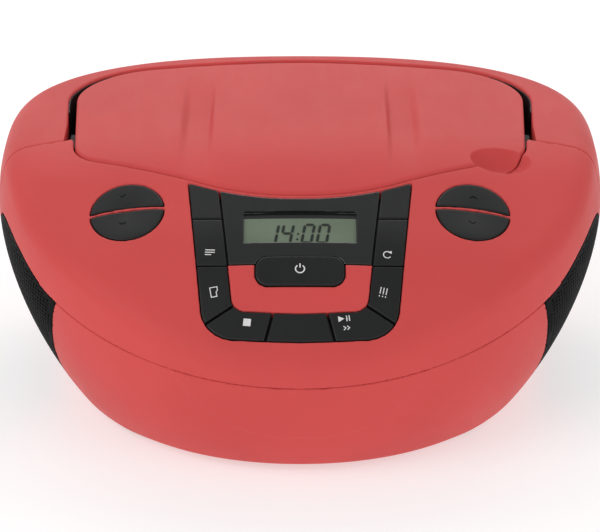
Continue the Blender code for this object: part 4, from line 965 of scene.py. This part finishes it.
def make_marks():
    """Pictograms on the keys: power, stop, play and pause, scan, loop, source, folder and list."""
    white = ink("white_print", (0.78, 0.78, 0.77))
    power = ribbon(arc((0, 0), 1.75, 125, 415), 0.5) + ribbon([(0, 0.5), (0, 2.35)], 0.5)
    stop = [[(-1.45, -1.5), (1.45, -1.5), (1.45, 1.5), (-1.45, 1.5)]]
    play = [[(-2.2, -1.2), (0.2, 0.0), (-2.2, 1.2)]] + ribbon([(1.1, -1.15), (1.1, 1.15)], 0.42)
    play += ribbon([(2.1, -1.15), (2.1, 1.15)], 0.42)
    scan = ribbon([(-1.1, 0.8), (-0.2, 0.0), (-1.1, -0.8)], 0.36)
    scan += ribbon([(0.3, 0.8), (1.2, 0.0), (0.3, -0.8)], 0.36)
    loop = ribbon(arc((0, 0), 1.5, 40, 320), 0.4) + [[(0.35, 1.05), (1.75, 0.35), (1.85, 1.75)]]
    source = ribbon([(-1.9, 1.1), (1.9, 1.1)], 0.42) + ribbon([(-1.9, 0.0), (1.9, 0.0)], 0.42)
    source += ribbon([(-1.9, -1.1), (0.6, -1.1)], 0.42)
    folder = ribbon([(-2.0, -1.3), (2.0, -1.3), (2.0, 0.9), (0.1, 0.9), (-0.5, 1.5), (-2.0, 1.5)],
                    0.36, closed=True)
    listing = [q for v in (-1.2, 0.0, 1.2) for q in ribbon([(-0.8, v), (2.0, v)], 0.36)
               + ribbon([(-2.0, v), (-1.5, v)], 0.42)]
    marks = {"power_key": (power, (0.0, -8.7), 0), "stop_key": (stop, (-20.4, -30.9), -6),
             "mode_key": (source, (-35.1, -0.2), -4), "album_key": (folder, (-33.3, -18.0), -80),
             "program_key": (listing, (32.2, -18.2), 78), "repeat_key": (loop, (34.0, -1.4), 4)}
    for node, (shapes, centre, angle) in marks.items():
        lift = 0.43 if node == "power_key" else 0.03
        shapes = turned_shapes(shapes, centre, angle)
        printed(f"{node}_mark", PANEL, shapes, BODY_OF[node], white, lift)
    both = turned_shapes(play, (16.9, -29.4), 7) + turned_shapes(scan, (17.9, -33.2), 7)
    printed("play_key_mark", PANEL, both, BODY_OF["play_key"], white)


SEGMENTS = {"a": ((0, 2), (1, 2)), "b": ((1, 1), (1, 2)), "c": ((1, 0), (1, 1)), "d": ((0, 0), (1, 0)),
            "e": ((0, 0), (0, 1)), "f": ((0, 1), (0, 2)), "g": ((0, 1), (1, 1))}
DIGITS = {"0": "abcdef", "1": "bc", "4": "bcfg"}


def digit(character, left_u, low_v, width=3.7, half=4.5, bar=1.0, slant=0.16):
    """Seven-segment digit made of lozenge bars that lean to the right."""
    shapes = []
    for name in DIGITS[character]:
        (x0, y0), (x1, y1) = SEGMENTS[name]
        a = np.array((x0 * width, y0 * half))
        b = np.array((x1 * width, y1 * half))
        run = (b - a) / np.linalg.norm(b - a)
        a, b = a + run * 0.28, b - run * 0.28
        across = np.array((-run[1], run[0])) * bar / 2
        tip = run * bar / 2
        corners = [a, a + tip - across, b - tip - across, b, b - tip + across, a + tip + across]
        shapes.append([(left_u + x + slant * y, low_v + y) for x, y in corners])
    return shapes


def make_clock():
    """Clock cell at the foot of the recess, with the digits on it."""
    half = RECESS[0] - 0.15
    low_v = RECESS[1] + 0.15
    edges = np.linspace(-half, half, 13)
    cells = [[(a, low_v), (b, low_v), (b, CLOCK_HIGH_V), (a, CLOCK_HIGH_V)]
             for a, b in zip(edges, edges[1:])]
    plate = printed("clock_cell", PANEL, cells, "case", MATERIALS["lcd_glass"],
                    -RECESS_DEPTH + 0.25, 0.2)
    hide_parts("lcd_module")
    dark = ink("segment_ink", (0.012, 0.017, 0.013), 0.3)
    shapes = digit("1", -13.4, 4.6) + digit("4", -7.6, 4.6) + digit("0", 0.6, 4.6) + digit("0", 6.6, 4.6)
    dot = [(-0.35, -0.35), (0.35, -0.35), (0.35, 0.35), (-0.35, 0.35)]
    for v in (6.2, 8.9):
        shapes.append([(-1.9 + 0.13 * v + x, v + y) for x, y in dot])
    printed("clock_digits", PANEL, shapes, "case", dark, -RECESS_DEPTH + 0.45, 0.15)


# ---------------------------------------------------------------- perforated grilles
HOLE_PITCH = 2.1
HOLE_RADIUS = 0.72
HOLE_SIDES = 8
GRILLE_RIM = 2.3
GRILLE_THICKNESS = 0.9


def side_points(yz, sign, depth=0.0):
    """Points of the body's side over flat (y, z) places, sunk by depth along X."""
    outward = np.array((float(sign), 0.0, 0.0))
    start = np.pad(np.array(yz, float), ((0, 0), (1, 0)))
    return start + (crossing(start, outward, 55.0, 140.0, -0.05) - depth)[:, None] * outward


def grille(node, sign):
    """Black sheet with staggered round holes, which follows the body's side."""
    low, high = np.array(GRILLE_OUTLINE).min(0), np.array(GRILLE_OUTLINE).max(0)
    centres = []
    row_height = HOLE_PITCH * math.sqrt(3.0) / 2.0
    for row in range(int((high[1] - low[1]) / row_height)):
        shift = 0.5 * HOLE_PITCH * (row % 2)
        for column in range(int((high[0] - low[0]) / HOLE_PITCH)):
            centres.append((low[0] + shift + column * HOLE_PITCH, low[1] + row * row_height))
    centres = np.array(centres)
    centres = centres[GRILLE(centres[:, 0], centres[:, 1]) < -GRILLE_RIM]
    rim = offset_outline(GRILLE_OUTLINE, GRILLE, GAP)
    points = [Vector(p) for p in rim]
    edges = [(i, (i + 1) % len(rim)) for i in range(len(rim))]
    for y, z in centres:
        start = len(points)
        for k in range(HOLE_SIDES):
            angle = math.tau * (k + 0.5) / HOLE_SIDES
            points.append(Vector((y + HOLE_RADIUS * math.cos(angle), z + HOLE_RADIUS * math.sin(angle))))
        edges += [(start + k, start + (k + 1) % HOLE_SIDES) for k in range(HOLE_SIDES)]
    flat, _, triangles, *_ = delaunay_2d_cdt(points, edges, [], 0, 1e-5)
    flat = np.array([tuple(p) for p in flat])
    triangles = np.array(triangles)
    middle = flat[triangles].mean(1)
    inside = GRILLE(middle[:, 0], middle[:, 1]) < -GAP + 0.12
    row = np.round((middle[:, 1] - low[1]) / row_height)
    shift = 0.5 * HOLE_PITCH * (row % 2)
    column = np.round((middle[:, 0] - low[0] - shift) / HOLE_PITCH)
    nearest = np.stack([low[0] + shift + column * HOLE_PITCH, low[1] + row * row_height], 1)
    in_hole = np.linalg.norm(middle - nearest, axis=1) < HOLE_RADIUS * 0.80
    in_hole &= GRILLE(nearest[:, 0], nearest[:, 1]) < -GRILLE_RIM
    triangles = triangles[inside & ~in_hole]
    count = len(flat)
    places = np.concatenate([side_points(flat, sign), side_points(flat, sign, GRILLE_THICKNESS)])
    if sign < 0:
        triangles = triangles[:, ::-1]
    directed = dict.fromkeys((t[k], t[(k + 1) % 3]) for t in triangles for k in range(3))
    border = [(a, b) for a, b in directed if (b, a) not in directed]
    faces = [tuple(t) for t in triangles] + [tuple(t[::-1] + count) for t in triangles]
    faces += [(a, a + count, b + count, b) for a, b in border]
    piece = new_object(f"{node}_fine", raw_mesh(f"{node}_fine", places, faces))
    piece.data.validate()
    piece.data.shade_smooth()
    piece.data.set_sharp_from_angle(angle=math.radians(40.0))
    stand_for(piece, node)


def offset_outline(outline, plan, inset):
    """Points of an outline moved inwards along its plan's slope."""
    run = np.array(outline)
    reach = 0.6
    for _ in range(4):
        value = plan(run[:, 0], run[:, 1]) + inset
        slope = np.stack([plan(run[:, 0] + reach, run[:, 1]) - plan(run[:, 0] - reach, run[:, 1]),
                          plan(run[:, 0], run[:, 1] + reach) - plan(run[:, 0], run[:, 1] - reach)], 1)
        slope /= np.linalg.norm(slope, axis=1, keepdims=True) + 1e-9
        run = run - slope * value[:, None]
    return [tuple(p) for p in run]


# ---------------------------------------------------------------- camera, light and floor
def make_camera():
    data = bpy.data.cameras.new("camera")
    camera = new_object("camera", data)
    distance, elevation = 1.25, math.radians(22.5)
    target = Vector((0.0, 0.001, 0.052))
    back = Vector((0.0, -math.cos(elevation), math.sin(elevation)))
    camera.location = target + back * distance
    camera.rotation_euler = (-back).to_track_quat("-Z", "Y").to_euler()
    data.sensor_width = 36.0
    data.lens = 180.5
    data.shift_y = -0.0117
    bpy.context.scene.camera = camera


def softbox(name, place, size, power):
    """Rectangular lamp that points at the middle of the object."""
    data = bpy.data.lights.new(name, "AREA")
    data.shape = "RECTANGLE"
    data.size, data.size_y = size
    data.energy = power
    lamp = new_object(name, data)
    lamp.location = place
    lamp.rotation_euler = (Vector((0.0, 0.0, 0.06)) - Vector(place)).to_track_quat("-Z", "Y").to_euler()


def make_light():
    """Three softboxes in a white room that is a little darker overhead."""
    softbox("key_softbox", (-0.85, -0.75, 0.95), (0.9, 0.7), 5.4)
    softbox("fill_softbox", (0.95, -0.8, 0.75), (0.9, 0.8), 2.6)
    softbox("rear_softbox", (0.0, 0.85, 1.05), (1.6, 0.7), 5.5)
    world = bpy.data.worlds.new("studio")
    bpy.context.scene.world = world
    world.use_nodes = True
    tree = world.node_tree
    height = tree.nodes.new("ShaderNodeSeparateXYZ")
    tree.links.new(tree.nodes.new("ShaderNodeTexCoord").outputs["Generated"], height.inputs["Vector"])
    shade_up = tree.nodes.new("ShaderNodeMapRange")
    for name, value in (("From Min", 0.3), ("From Max", 0.95), ("To Min", 0.66), ("To Max", 0.34)):
        shade_up.inputs[name].default_value = value
    tree.links.new(height.outputs["Z"], shade_up.inputs["Value"])
    tree.links.new(shade_up.outputs["Result"], tree.nodes["Background"].inputs["Strength"])
    tree.nodes["Background"].inputs["Color"].default_value = (1.0, 1.0, 1.0, 1.0)
    bpy.context.scene.view_settings.view_transform = "Standard"


def make_floor():
    """Pale sweep: a large floor that curves up far behind the object."""
    half, back, rise, radius = 6.0, 3.0, 5.0, 1.5
    profile = [(-5.0, 0.0), (back, 0.0)]
    profile += [(back + radius * math.sin(a), radius * (1.0 - math.cos(a)))
                for a in np.radians(np.linspace(6, 90, 15))]
    profile.append((back + radius, rise))
    points = [(x * 1000, y * 1000, z * 1000 - 0.05) for x in (-half, half) for y, z in profile]
    count = len(profile)
    faces = [(i, i + 1, count + i + 1, count + i)[::-1] for i in range(count - 1)]
    floor = new_object("floor", raw_mesh("floor", points, faces))
    floor.data.shade_smooth()
    n = Nodes("paper_sweep")
    n.paint(n.mix(n.span(n.noise(3.0), 0.0, 1.0), (0.55, 0.55, 0.55), (0.58, 0.58, 0.58)))
    n.fix({"Roughness": 0.9, "Emission Color": (1.0, 1.0, 1.0, 1.0), "Emission Strength": 0.52})
    floor.data.materials.append(n.material)


# ---------------------------------------------------------------- assembly
STRIP = [("trim_left", 0, -1), ("mode_key", 1, -1), ("album_key", 2, -1), ("stop_key", 3, -1),
         ("trim_middle", 4, 0), ("play_key", 3, 1), ("program_key", 2, 1), ("repeat_key", 1, 1),
         ("trim_right", 0, 1)]
ROUND_KEYS = [("volume_up_key", "left", True), ("volume_down_key", "left", False),
              ("skip_forward_key", "right", True), ("skip_back_key", "right", False)]


def power_outline(p):
    return POWER(*PANEL.uv(p))


def make_pieces():
    moulded("top_shell", top_shell, 0.65, 0.42)
    moulded("bottom_shell", bottom_shell, 0.9, 0.4)
    moulded("handle", handle, 0.75, 0.4)
    moulded("cd_lid", cd_lid, 0.7, 0.4)
    moulded("cd_deck", cd_deck, 0.8, 0.35)
    moulded("well_floor", well_floor, 0.6, 0.3)
    dress(formed("key_mat", "top_shell", key_mat, 0.4, 0.4), "case", "black_chassis")
    # a dark sheet on the handle's inner walls paints the shade in the gaps beside the lid
    dress(formed("handle_shade_sheet", "handle", handle_shade_sheet, 0.45, 0.4), "handle", "black_chassis")
    for node, index, side in STRIP:
        moulded(node, key_field(strip_key(index, side), 0.0), 0.36, 0.5)
    moulded("power_key", key_field(power_outline, 0.4, 0.8), 0.36, 0.5)
    moulded("display_window", display_window, 0.36, 0.5)
    for node, side, upper in ROUND_KEYS:
        moulded(node, round_key(side, upper), 0.36, 0.6)
    grille("speaker_grille_left", -1)
    grille("speaker_grille_right", 1)
    make_marks()
    make_clock()
    for name, node in frame["nodes"].items():
        if not node.hide_render:
            node.data.materials.clear()
            node.data.materials.append(MATERIALS[SLOT_OF[name]])


make_camera()
make_light()
make_floor()
make_pieces()
